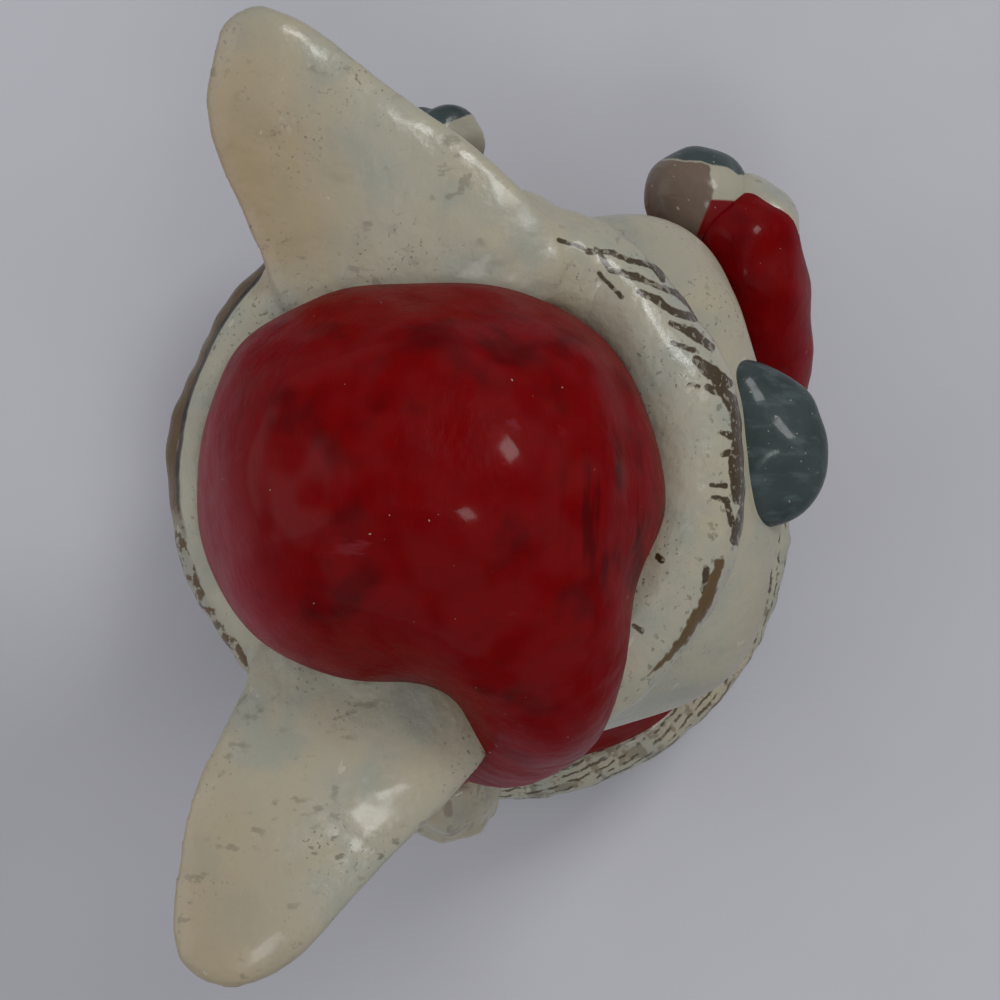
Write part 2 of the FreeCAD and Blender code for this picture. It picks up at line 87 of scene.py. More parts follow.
class Chip(Enum):
    """Paint and plaster colours of the figure."""

    CREAM = paint(150, 146, 129)
    CREAM_GREY = paint(136, 139, 128)
    CREAM_WARM = paint(156, 147, 124)
    AIRBRUSH = paint(146, 128, 98)
    TAN = paint(98, 83, 71)
    UMBER = paint(52, 38, 12)
    OLIVE = paint(78, 58, 22)
    SOOT = paint(72, 68, 54)
    RED = paint(102, 0, 2)
    RED_DARK = paint(62, 0, 1)
    # A pink that is painted reflection on the cap and rubbed wear elsewhere.
    RED_HAZE = paint(126, 52, 60)
    SLATE = paint(52, 62, 62)
    SLATE_DARK = paint(42, 50, 49)
    SLATE_LIGHT = paint(84, 97, 96)
    PLASTER = paint(176, 170, 152)
    MOSS = paint(86, 96, 78)
    INK = paint(24, 20, 18)
    FELT = paint(50, 74, 54)
    IRON = paint(120, 116, 110)
    FLOOR = paint(180, 180, 186)


class Side(Enum):
    """The figure's two sides."""

    LEFT = "left"
    RIGHT = "right"


# Solid forms


@dataclass(frozen=True)
class Form:
    """A solid as a signed distance in millimetres, less than zero inside."""

    at: Callable[[Points], np.ndarray]

    def __or__(self, other: "Form") -> "Form":
        """Join two forms with a sharp crease."""
        return Form(lambda p: np.minimum(self.at(p), other.at(p)))

    def __and__(self, other: "Form") -> "Form":
        """Keep what two forms share."""
        return Form(lambda p: np.maximum(self.at(p), other.at(p)))

    def grown(self, step: float) -> "Form":
        """Move the skin outwards by a step."""
        return Form(lambda p: self.at(p) - step)

    def blend(self, other: "Form", width: float) -> "Form":
        """Join two forms with a rounded fillet.

        Args:
            other: the form to join.
            width: how far from the crease the fillet starts.

        Returns:
            The joined form.
        """

        def joined(p: Points) -> np.ndarray:
            """Give the smooth least of both distances.

            Args:
                p: the points, as an array of three coordinates.

            Returns:
                The distances in millimetres.
            """
            a, b = self.at(p), other.at(p)
            overlap = np.maximum(width - np.abs(a - b), 0) / width
            return np.minimum(a, b) - overlap * overlap * width / 4

        return Form(joined)

    def carve(self, other: "Form", width: float) -> "Form":
        """Cut a form out of this one with rounded lips.

        Args:
            other: the form to cut away.
            width: how far from the lip the rounding starts.

        Returns:
            The carved form.
        """

        def cut(p: Points) -> np.ndarray:
            """Give the smooth greatest of the distance and the tool's opposite.

            Args:
                p: the points, as an array of three coordinates.

            Returns:
                The distances in millimetres.
            """
            a, b = self.at(p), -other.at(p)
            overlap = np.maximum(width - np.abs(a - b), 0) / width
            return np.maximum(a, b) + overlap * overlap * width / 4

        return Form(cut)

    def rough(self, relief: Callable[[Points], np.ndarray]) -> "Form":
        """Raise the skin by a relief, in millimetres."""
        return Form(lambda p: self.at(p) - relief(p))

    def turned_about_up(self, degrees: float) -> "Form":
        """Turn the form about the upright axis.

        Args:
            degrees: the angle, from -Y towards +X.

        Returns:
            The turned form.
        """
        cosine, sine = math.cos(math.radians(degrees)), math.sin(math.radians(degrees))

        def turned(p: Points) -> np.ndarray:
            """Look the form up in its own turned frame."""
            x, y = p[0] * cosine + p[1] * sine, p[1] * cosine - p[0] * sine
            return self.at(np.stack([x, y, p[2]]))

        return Form(turned)


@dataclass(frozen=True)
class Relief:
    """Seeded unevenness: waves that run in random directions.

    Attributes:
        seed: the seed of its draws.
        size: the usual length of a wave in millimetres.
        depth: its usual height in millimetres.
        count: how many waves are added up.
        spread: the least and the greatest length of a wave, in sizes.
    """

    seed: int
    size: float
    depth: float
    count: int = 9
    spread: tuple[float, float] = (0.7, 1.5)

    def __call__(self, p: Points) -> np.ndarray:
        """Give the relief's height.

        Args:
            p: the points, as an array of three coordinates.

        Returns:
            The heights in millimetres.
        """
        draw = np.random.default_rng(self.seed)
        total = np.zeros(p.shape[1:], np.float32)
        for _ in range(self.count):
            way = draw.normal(size=3)
            way = way / np.linalg.norm(way)
            way = way * 2 * math.pi / (self.size * draw.uniform(*self.spread))
            start = draw.uniform(0, 2 * math.pi)
            total += np.sin(p[0] * way[0] + p[1] * way[1] + p[2] * way[2] + start)
        return self.depth * total / math.sqrt(self.count / 2)


def ellipsoid(centre: Triple, half_sizes: Triple, up: Triple | None = None) -> Form:
    """Make an ellipsoid.

    Args:
        centre: its middle.
        half_sizes: its half sizes along X, Y and its own upright axis.
        up: where its own upright axis points, if not straight up.

    Returns:
        The form.
    """
    turn = Matrix.Identity(3)
    if up is not None:
        turn = Vector((0, 0, 1)).rotation_difference(Vector(up)).to_matrix()
    back = np.array(turn.transposed(), np.float32)

    def at(p: Points) -> np.ndarray:
        """Give the distance, close to true near the skin.

        Args:
            p: the points, as an array of three coordinates.

        Returns:
            The distances in millimetres.
        """
        local = [p[n] - centre[n] for n in range(3)]
        own = [sum(back[row, n] * local[n] for n in range(3)) for row in range(3)]
        near = np.sqrt(sum((own[n] / half_sizes[n]) ** 2 for n in range(3)))
        slope = np.sqrt(sum((own[n] / half_sizes[n] ** 2) ** 2 for n in range(3)))
        return near * (near - 1) / np.maximum(slope, TINY)

    return Form(at)


def squarish(centre: Triple, half_sizes: Triple, front: float = 2.05, behind: float = 2.45) -> Form:
    """Make an egg that is a little square in plan.

    Args:
        centre: its middle.
        half_sizes: its half sizes.
        front: how square its front half is; 2 is round.
        behind: how square its back half is.

    Returns:
        The form.
    """

    def at(p: Points) -> np.ndarray:
        """Give the distance, close to true near the skin.

        Args:
            p: the points, as an array of three coordinates.

        Returns:
            The distances in millimetres.
        """
        shares = [np.abs(p[n] - centre[n]) / half_sizes[n] for n in range(3)]
        power = np.where(p[1] > centre[1], behind, front)
        plan = (shares[0] ** power + shares[1] ** power) ** (1 / power)
        near = np.sqrt(plan**2 + shares[2] ** 2)
        slope = np.sqrt(sum((shares[n] / half_sizes[n]) ** 2 for n in range(3)))
        return near * (near - 1) / np.maximum(slope, TINY)

    return Form(at)


def ball(centre: Triple, radius: float) -> Form:
    """Make a sphere."""
    return ellipsoid(centre, (radius, radius, radius))


def smooth_run(rows: Sequence[Sequence[float]], steps: int) -> np.ndarray:
    """Run a smooth curve through rows of numbers.

    Args:
        rows: the rows, which the curve passes through.
        steps: how many steps go between two rows.

    Returns:
        The rows of the curve.
    """
    knots = np.array(rows, float)
    padded = np.vstack([2 * knots[0] - knots[1], knots, 2 * knots[-1] - knots[-2]])
    out = []
    for a, b, c, d in zip(padded, padded[1:], padded[2:], padded[3:]):
        for share in np.arange(steps) / steps:
            bend = (2 * a - 5 * b + 4 * c - d) * share**2
            twist = (3 * b - a - 3 * c + d) * share**3
            out.append(b + ((c - a) * share + bend + twist) / 2)
    out.append(knots[-1])
    return np.array(out)


def limb(stations: Sequence[Station], steps: int = 5) -> Form:
    """Make a rounded limb along a smooth path.

    Args:
        stations: rows of x, y, z and radius.
        steps: how many balls lie between two stations.

    Returns:
        The form, with round ends.
    """
    path = smooth_run(stations, steps)

    def at(p: Points) -> np.ndarray:
        """Give the distance to the nearest stretch of the path.

        Args:
            p: the points, as an array of three coordinates.

        Returns:
            The distances in millimetres.
        """
        best = np.full(p.shape[1:], FAR, np.float32)
        for start, end in zip(path, path[1:]):
            run = end[:3] - start[:3]
            local = [p[n] - start[n] for n in range(3)]
            share = np.clip(sum(local[n] * run[n] for n in range(3)) / (run @ run), 0, 1)
            gap = np.sqrt(sum((local[n] - share * run[n]) ** 2 for n in range(3)))
            best = np.minimum(best, gap - start[3] - share * (end[3] - start[3]))
        return best

    return Form(at)


def slab(axis: int, low: float, high: float) -> Form:
    """Make the space between two planes square to an axis."""
    return Form(lambda p: np.maximum(low - p[axis], p[axis] - high))


def turned(rings: Sequence[tuple[float, float, float]]) -> Form:
    """Make an upright round form.

    Args:
        rings: rows of level, radius and the middle's place along Y.

    Returns:
        The form, flat at both ends.
    """
    run = smooth_run(rings, 12)

    def at(p: Points) -> np.ndarray:
        """Give the distance to the wall or to an end.

        Args:
            p: the points, as an array of three coordinates.

        Returns:
            The distances in millimetres.
        """
        radius = np.interp(p[2], run[:, 0], run[:, 1])
        middle = np.interp(p[2], run[:, 0], run[:, 2])
        slope = np.interp(p[2], run[:, 0], np.gradient(run[:, 1], run[:, 0]))
        wall = (np.hypot(p[0], p[1] - middle) - radius) / np.sqrt(1 + slope**2)
        ends = np.maximum(run[0, 0] - p[2], p[2] - run[-1, 0])
        return np.maximum(wall, ends).astype(np.float32)

    return Form(at)


def hoop(radius: float, roll: float, level: float) -> Form:
    """Make a level roll round the upright axis."""
    return Form(lambda p: np.hypot(np.hypot(p[0], p[1]) - radius, p[2] - level) - roll)


@dataclass
class Piece:
    """One cast piece of the figure, made from a form.

    Attributes:
        name: the piece's name.
        nodes: the CAD nodes that it stands for.
        slot: the record's material slot; not used.
        form: its shape.
        grain: the mesh's step in millimetres.
        spare: how far its form may stand out of its nodes' box.
    """

    name: str
    nodes: tuple[str, ...]
    slot: str
    form: Form
    grain: float = 1.3
    spare: float = 4.0

    def cast(self, finish: "Finish") -> None:
        """Mesh the form, dress it and fix it to the figure.

        Args:
            finish: what the piece is painted with.
        """
        corners = [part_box(node) for node in self.nodes]
        low = np.min([c[0] for c in corners], axis=0) / MM - self.spare
        high = np.max([c[1] for c in corners], axis=0) / MM + self.spare
        step = self.grain
        axes = [np.arange(low[n], high[n] + step, step, dtype=np.float32) for n in range(3)]
        values = self.form.at(np.stack(np.meshgrid(*axes, indexing="ij")))
        grid = openvdb.FloatGrid(3 * step)
        grid.copyFromArray(np.ascontiguousarray(values, dtype=np.float32))
        points, triangles, quads = grid.convertToPolygons(0.0, 0.0)
        points = (points * step + low) * MM
        faces = [tuple(reversed(face)) for face in (*triangles.tolist(), *quads.tolist())]
        mesh = bpy.data.meshes.new(self.name)
        mesh.from_pydata(points.tolist(), [], faces)
        mesh.validate()
        mesh.shade_smooth()
        piece = bpy.data.objects.new(self.name, mesh)
        bpy.context.scene.collection.objects.link(piece)
        mesh.materials.append(finish.material())
        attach(piece, "root")
        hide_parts(*self.nodes)
        LOG.info("%s: %d faces", self.name, len(faces))


# Shader expressions


class Socket:
    """A shader socket that can be used in sums."""

    def __init__(self, tree: "Tree", socket: bpy.types.NodeSocket) -> None:
        """Wrap a socket of a tree."""
        self.tree = tree
        self.socket = socket

    def maths(self, operation: str, *others: "Socket | float") -> "Socket":
        """Add a Math node on this value."""
        values = dict(enumerate((self, *others)))
        return self.tree.add("ShaderNodeMath", {"operation": operation}, values)

    def __add__(self, other: "Socket | float") -> "Socket":
        """Add."""
        return self.maths("ADD", other)

    __radd__ = __add__

    def __sub__(self, other: "Socket | float") -> "Socket":
        """Subtract."""
        return self.maths("SUBTRACT", other)

    def __rsub__(self, other: float) -> "Socket":
        """Subtract this value from a number."""
        return self.tree.add("ShaderNodeMath", {"operation": "SUBTRACT"}, {0: other, 1: self})

    def __mul__(self, other: "Socket | float") -> "Socket":
        """Multiply."""
        return self.maths("MULTIPLY", other)

    __rmul__ = __mul__

    def __truediv__(self, other: "Socket | float") -> "Socket":
        """Divide."""
        return self.maths("DIVIDE", other)

    def __abs__(self) -> "Socket":
        """Drop the sign."""
        return self.maths("ABSOLUTE")

    def __and__(self, other: "Socket | float") -> "Socket":
        """Keep the lesser value."""
        return self.maths("MINIMUM", other)

    def __or__(self, other: "Socket | float") -> "Socket":
        """Keep the greater value."""
        return self.maths("MAXIMUM", other)

    def rise(self, low: float, high: float) -> "Socket":
        """Turn the value into a mask that rises smoothly from 0 at low to 1 at high."""
        values = {"Value": self, "From Min": low, "From Max": high}
        return self.tree.add("ShaderNodeMapRange", {"interpolation_type": "SMOOTHSTEP"}, values)

    def fall(self, low: float, high: float) -> "Socket":
        """Turn the value into a mask that falls smoothly from 1 at low to 0 at high."""
        return 1 - self.rise(low, high)


class Tree:
    """A material's node tree with the figure's coordinates in millimetres."""

    def __init__(self, name: str) -> None:
        """Start a material with a Principled shader.

        Args:
            name: the material's name.
        """
        self.material = bpy.data.materials.new(name)
        self.material.use_nodes = True
        self.nodes = self.material.node_tree.nodes
        self.links = self.material.node_tree.links
        self.shader = self.nodes["Principled BSDF"]
        own = self.add("ShaderNodeTexCoord", output="Object")
        self.point = self.vector("SCALE", own, scale=1 / MM)
        parts = (self.add("ShaderNodeSeparateXYZ", {}, {0: self.point}, part) for part in "XYZ")
        self.x, self.y, self.z = parts

    def add(
        self,
        kind: str,
        settings: dict[str, Any] | None = None,
        values: dict[int | str, Any] | None = None,
        output: int | str = 0,
    ) -> Socket:
        """Add a node.

        Args:
            kind: the node's type.
            settings: its own settings, set first.
            values: the values or links of its sockets, by name or number.
            output: the name or number of the output that is wanted.

        Returns:
            The wanted output.
        """
        node = self.nodes.new(kind)
        for key, value in (settings or {}).items():
            setattr(node, key, value)
        for key, value in (values or {}).items():
            if isinstance(value, Socket):
                self.links.new(value.socket, node.inputs[key])
            elif isinstance(value, Chip):
                node.inputs[key].default_value = value.value
            else:
                node.inputs[key].default_value = value
        return Socket(self, node.outputs[output])

    def vector(
        self, operation: str, first: Any, second: Any = None, scale: float | Socket | None = None
    ) -> Socket:
        """Add a Vector Math node.

        Args:
            operation: what it does.
            first, second: its vectors, as sockets or numbers.
            scale: the factor of a scaling.

        Returns:
            The vector, or the number for a dot product or a length.
        """
        values = {0: first}
        if second is not None:
            values[1] = second
        if scale is not None:
            values["Scale"] = scale
        output = "Value" if operation in ("DOT_PRODUCT", "LENGTH") else "Vector"
        return self.add("ShaderNodeVectorMath", {"operation": operation}, values, output)

    def mix(self, under: Any, over: Any, mask: Socket | float) -> Socket:
        """Lay one colour over another through a mask."""
        return self.add("ShaderNodeMix", {"data_type": "RGBA"}, {0: mask, 6: under, 7: over}, 2)

    def noise(
        self, size: float, detail: float = 2.0, stretch: Triple = (1, 1, 1), shift: float = 0.0
    ) -> Socket:
        """Add noise with features of a size in millimetres.

        Args:
            size: the size of a feature.
            detail: how many finer layers it has.
            stretch: how much longer it is along each axis.
            shift: moves the pattern, so that two of one size differ.

        Returns:
            The noise, 0 to 1 and mostly near a half.
        """
        place = self.vector("MULTIPLY", self.point, tuple(1 / (size * s) for s in stretch))
        place = self.vector("ADD", place, (shift, shift * 1.7, shift * 2.3))
        values = {"Vector": place, "Scale": 1.0, "Detail": detail}
        return self.add("ShaderNodeTexNoise", {}, values, "Fac")

    def unsteady(self, size: float, detail: float, amount: float, shift: float = 0.0) -> Socket:
        """Give noise spread evenly about 0, over an amount."""
        return (self.noise(size, detail, shift=shift) - 0.5) * amount

    def shaken(self, size: float, amount: float) -> Socket:
        """Give the coordinates with a ragged shift.

        Args:
            size: the size of a wiggle in millimetres.
            amount: how far the shift spreads, in millimetres.

        Returns:
            The shifted coordinates.
        """
        place = self.vector("SCALE", self.point, scale=1 / size)
        values = {"Vector": place, "Scale": 1.0, "Detail": 3.0}
        noise = self.add("ShaderNodeTexNoise", {}, values, "Color")
        noise = self.vector("SUBTRACT", noise, (0.5, 0.5, 0.5))
        return self.vector("ADD", self.point, self.vector("SCALE", noise, scale=amount))

    def away(self) -> Socket:
        """Give the distance from the upright axis."""
        return self.vector("LENGTH", self.vector("MULTIPLY", self.point, (1, 1, 0)))

    def relief(self, *layers: tuple[Socket, float]) -> Socket:
        """Stack Bump nodes, each with a height in millimetres.

        Args:
            layers: pairs of a height, 0 to 1, and its depth in millimetres.

        Returns:
            The normal.
        """
        normal: Socket | None = None
        for height, depth in layers:
            values = {"Height": height, "Distance": depth * MM, "Strength": 1.0}
            if normal is not None:
                values["Normal"] = normal
            normal = self.add("ShaderNodeBump", {}, values)
        return normal

    def finish(
        self,
        colour: Socket,
        roughness: Socket | float,
        coat: Socket | float,
        normal: Socket | None = None,
        gloss: float = 0.3,
    ) -> bpy.types.Material:
        """Feed the shader.

        Args:
            colour: the base colour.
            roughness: a value or a socket.
            coat: the clear varnish's weight, a value or a socket.
            normal: the normal, if it isn't plain.
            gloss: how strongly the paint under the varnish reflects; 0.5 is plain plastic.

        Returns:
            The finished material.
        """
        feeds = {"Base Color": colour, "Roughness": roughness, "Coat Weight": coat}
        for key, value in {**feeds, "Normal": normal}.items():
            if isinstance(value, Socket):
                self.links.new(value.socket, self.shader.inputs[key])
            elif value is not None:
                self.shader.inputs[key].default_value = value
        self.shader.inputs["Coat Roughness"].default_value = VARNISH_ROUGHNESS
        self.shader.inputs["Specular IOR Level"].default_value = gloss
        return self.material


Mask = Callable[[Tree], Socket]
Accents = tuple[tuple[Chip, Mask], ...]


@dataclass(frozen=True)
class Stroke:
    """A brush stroke over a run of points seen from above.

    Attributes:
        path: rows of x, y and half width.
    """

    path: tuple[Triple, ...]

    def gap(self, tree: Tree, place: Socket) -> Socket:
        """Give how far the surface is from the stroke, less than zero under it.

        Args:
            tree: the material.
            place: the coordinates, which may be shaken.

        Returns:
            The distance in millimetres.
        """
        flat = tree.vector("MULTIPLY", place, (1, 1, 0))
        gap: Socket | None = None
        for (ax, ay, aw), (bx, by, bw) in zip(self.path, self.path[1:]):
            run = Vector((bx - ax, by - ay, 0))
            local = tree.vector("SUBTRACT", flat, (ax, ay, 0))
            along = tree.vector("DOT_PRODUCT", local, tuple(run)) / run.length_squared
            share = (along | 0.0) & 1.0
            side = tree.vector("SUBTRACT", local, tree.vector("SCALE", tuple(run), scale=share))
            near = tree.vector("LENGTH", side) - (aw + share * (bw - aw))
            gap = near if gap is None else gap & near
        return gap


@dataclass(frozen=True)
class Finish:
    """What a piece is painted with."""

    name: str

    def material(self) -> bpy.types.Material:
        """Give the material, made once."""
        return bpy.data.materials.get(self.name) or self.mixed()

    def mixed(self) -> bpy.types.Material:
        """Mix the material."""
        raise NotImplementedError


@dataclass(frozen=True)
class CreamPaint(Finish):
    """Varnished cream paint over plaster, with age specks, scuffs and brushed accents.

    Attributes:
        accents: colours laid over the cream, each through its own mask.
        soiling: how strong the grey-brown soil is.
        chips: how much bare plaster shows.
        roughness: how rough the bare paint is.
    """

    accents: Accents = ()
    soiling: float = 0.6
    chips: float = 0.5
    roughness: float = 0.44

    def mixed(self) -> bpy.types.Material:
        """Mix the material.

        Returns:
            The material.
        """
        tree = Tree(self.name)
        warmth = tree.noise(38, 2).rise(0.4, 0.68) * 0.7
        colour = tree.mix(Chip.CREAM, Chip.CREAM_WARM, warmth)
        greyness = tree.noise(15, 4, shift=3).rise(0.42, 0.7) * 0.75
        colour = tree.mix(colour, Chip.CREAM_GREY, greyness)
        for chip, mask in self.accents:
            colour = tree.mix(colour, chip, mask(tree))
        where = tree.noise(24, 3, shift=9).rise(0.46, 0.66)
        specks = tree.noise(1.1, 2, shift=5).rise(0.64, 0.69) * (where * 0.85 + 0.1)
        scuffs = tree.noise(2.6, 5, (1, 1.8, 1), shift=11).rise(0.61, 0.68) * where
        scuffs = scuffs * tree.noise(60, 1, shift=2).rise(0.42, 0.6)
        soil = (specks | scuffs) * self.soiling
        colour = tree.mix(colour, Chip.SOOT, soil)
        bare = tree.noise(5.5, 5, shift=13).rise(0.70, 0.715) * self.chips
        colour = tree.mix(colour, Chip.PLASTER, bare)
        gloss = tree.noise(30, 2, shift=4).rise(0.35, 0.65)
        roughness = self.roughness - gloss * 0.14 + soil * 0.25 + bare * 0.3
        normal = tree.relief(
            (tree.noise(9, 2, shift=6), 0.9),
            (tree.noise(2.6, 3, shift=1), 0.3),
            (1 - (bare | specks * 0.6), 0.12),
        )
        return tree.finish(colour, roughness, 0.1 + gloss * 0.2, normal)


@dataclass(frozen=True)
class RedPaint(Finish):
    """Deep red gloss paint with darker clouds, painted shade in the cap's creases and a pink layer:
    painted reflection on the cap, dusty wear elsewhere.

    Attributes:
        pink_sheen_and_wear: masks of the pink layer, which is painted reflection on the cap and
            dust and wear on the coat and sleeves.
        shade: masks of painted shade, where the red is laid darker in creases.
        roughness: how rough the bare paint is.
        varnish: the varnish's weight where it is thickest.
        gloss: how strongly the paint under it reflects.
    """

    pink_sheen_and_wear: tuple[Mask, ...] = ()
    shade: tuple[Mask, ...] = ()
    roughness: float = 0.42
    varnish: float = 0.12
    gloss: float = 0.03

    def mixed(self) -> bpy.types.Material:
        """Mix the material.

        Returns:
            The material.
        """
        tree = Tree(self.name)
        clouds = tree.noise(17, 2, shift=2).rise(0.52, 0.72)
        grain = tree.noise(5, 4, shift=5).rise(0.35, 0.75)
        colour = tree.mix(Chip.RED, Chip.RED_DARK, clouds * 0.6 + grain * 0.2)
        # Painted shade: the red laid darker in the cap's creases.
        for mask in self.shade:
            colour = tree.mix(colour, Chip.RED_DARK, mask(tree))
        speckle = tree.noise(1.6, 3, shift=6).rise(0.45, 0.8)
        # The pink layer: painted reflection, a sheen of light, on the cap; dust and rubbed wear on
        # the coat and sleeves.
        for mask in self.pink_sheen_and_wear:
            colour = tree.mix(colour, Chip.RED_HAZE, mask(tree) * (0.75 + speckle * 0.25))
        rubs = tree.noise(6, 5, (1, 4, 1), shift=12).rise(0.64, 0.72)
        rubs = rubs * tree.noise(34, 1, shift=3).rise(0.5, 0.62)
        colour = tree.mix(colour, Chip.RED_HAZE, rubs * 0.35)
        pits = tree.noise(1.6, 1, shift=15).rise(0.8, 0.83)
        colour = tree.mix(colour, Chip.PLASTER, pits * 0.6)
        ripples = tree.noise(2.6, 4, (1.8, 1, 1), shift=9)
        normal = tree.relief((tree.noise(11, 2, shift=8), 0.9), (ripples, 0.35), (1 - pits, 0.1))
        roughness = self.roughness + rubs * 0.3 + speckle * 0.06
        varnish = tree.noise(13, 1, shift=16).rise(0.36, 0.6) * self.varnish
        return tree.finish(colour, roughness, varnish, normal, self.gloss)


@dataclass(frozen=True)
class SlatePaint(Finish):
    """Blue-grey gloss paint with brush marks.

    Attributes:
        accents: colours laid over the slate, each through its own mask.
        roughness: how rough the paint is between the streaks.
        varnish: the varnish's weight.
        gloss: how strongly the paint under it reflects.
    """

    accents: Accents = ()
    roughness: float = 0.36
    varnish: float = 0.18
    gloss: float = 0.1

    def mixed(self) -> bpy.types.Material:
        """Mix the material.

        Returns:
            The material.
        """
        tree = Tree(self.name)
        clouds = tree.noise(14, 2, shift=1).rise(0.45, 0.7)
        colour = tree.mix(Chip.SLATE, Chip.SLATE_DARK, clouds * 0.8)
        streaks = tree.noise(3.2, 4, (1, 3.5, 1.5), shift=4).rise(0.5, 0.72)
        colour = tree.mix(colour, Chip.SLATE_LIGHT, streaks * 0.45)
        for chip, mask in self.accents:
            colour = tree.mix(colour, chip, mask(tree))
        specks = tree.noise(1.3, 1, shift=7).rise(0.74, 0.78)
        colour = tree.mix(colour, Chip.PLASTER, specks * 0.5)
        normal = tree.relief((tree.noise(8, 2, shift=3), 0.8), (streaks, 0.12))
        return tree.finish(colour, self.roughness + streaks * 0.1, self.varnish, normal, self.gloss)


@dataclass(frozen=True)
class MossPaint(Finish):
    """Dull green paint of the plinth, rubbed to plaster at the edge.

    Attributes:
        worn_radii: where the rubbing starts and is at its full, from the upright axis.
        worn_levels: the levels where it starts and is at its full.
    """

    worn_radii: tuple[float, float] = (73.0, 76.5)
    worn_levels: tuple[float, float] = (7.0, 12.0)

    def mixed(self) -> bpy.types.Material:
        """Mix the material.

        Returns:
            The material.
        """
        tree = Tree(self.name)
        colour = tree.mix(Chip.MOSS, Chip.SOOT, tree.noise(18, 4).rise(0.45, 0.75) * 0.6)
        edge = tree.away().rise(*self.worn_radii) * tree.z.rise(*self.worn_levels)
        scuffs = tree.noise(3, 5, (1, 1, 0.6), shift=9).rise(0.62, 0.68) * 0.6
        worn = edge * tree.noise(4, 5, shift=3).rise(0.46, 0.58) | scuffs
        colour = tree.mix(colour, Chip.PLASTER, worn * 0.8)
        normal = tree.relief((tree.noise(6, 3), 0.5), (1 - worn, 0.2))
        return tree.finish(colour, 0.5 + worn * 0.3, 0.15, normal)


@dataclass(frozen=True)
class WoolFelt(Finish):
    """Short green felt."""

    def mixed(self) -> bpy.types.Material:
        """Mix the material.

        Returns:
            The material.
        """
        tree = Tree(self.name)
        fibres = tree.noise(0.7, 4, (1, 3, 1))
        colour = tree.mix(Chip.FELT, Chip.SOOT, fibres.rise(0.4, 0.7) * 0.6)
        return tree.finish(colour, 0.95, 0.0, tree.relief((fibres, 0.3)))


@dataclass(frozen=True)
class IronWire(Finish):
    """Annealed iron wire with a dark skin."""

    def mixed(self) -> bpy.types.Material:
        """Mix the material.

        Returns:
            The material.
        """
        tree = Tree(self.name)
        tree.shader.inputs["Metallic"].default_value = 1.0
        skin = tree.noise(2.5, 4).rise(0.4, 0.7)
        colour = tree.mix(Chip.IRON, Chip.SOOT, skin)
        return tree.finish(colour, 0.4 + skin * 0.3, 0.0, tree.relief((skin, 0.05)))


# Sub-assemblies


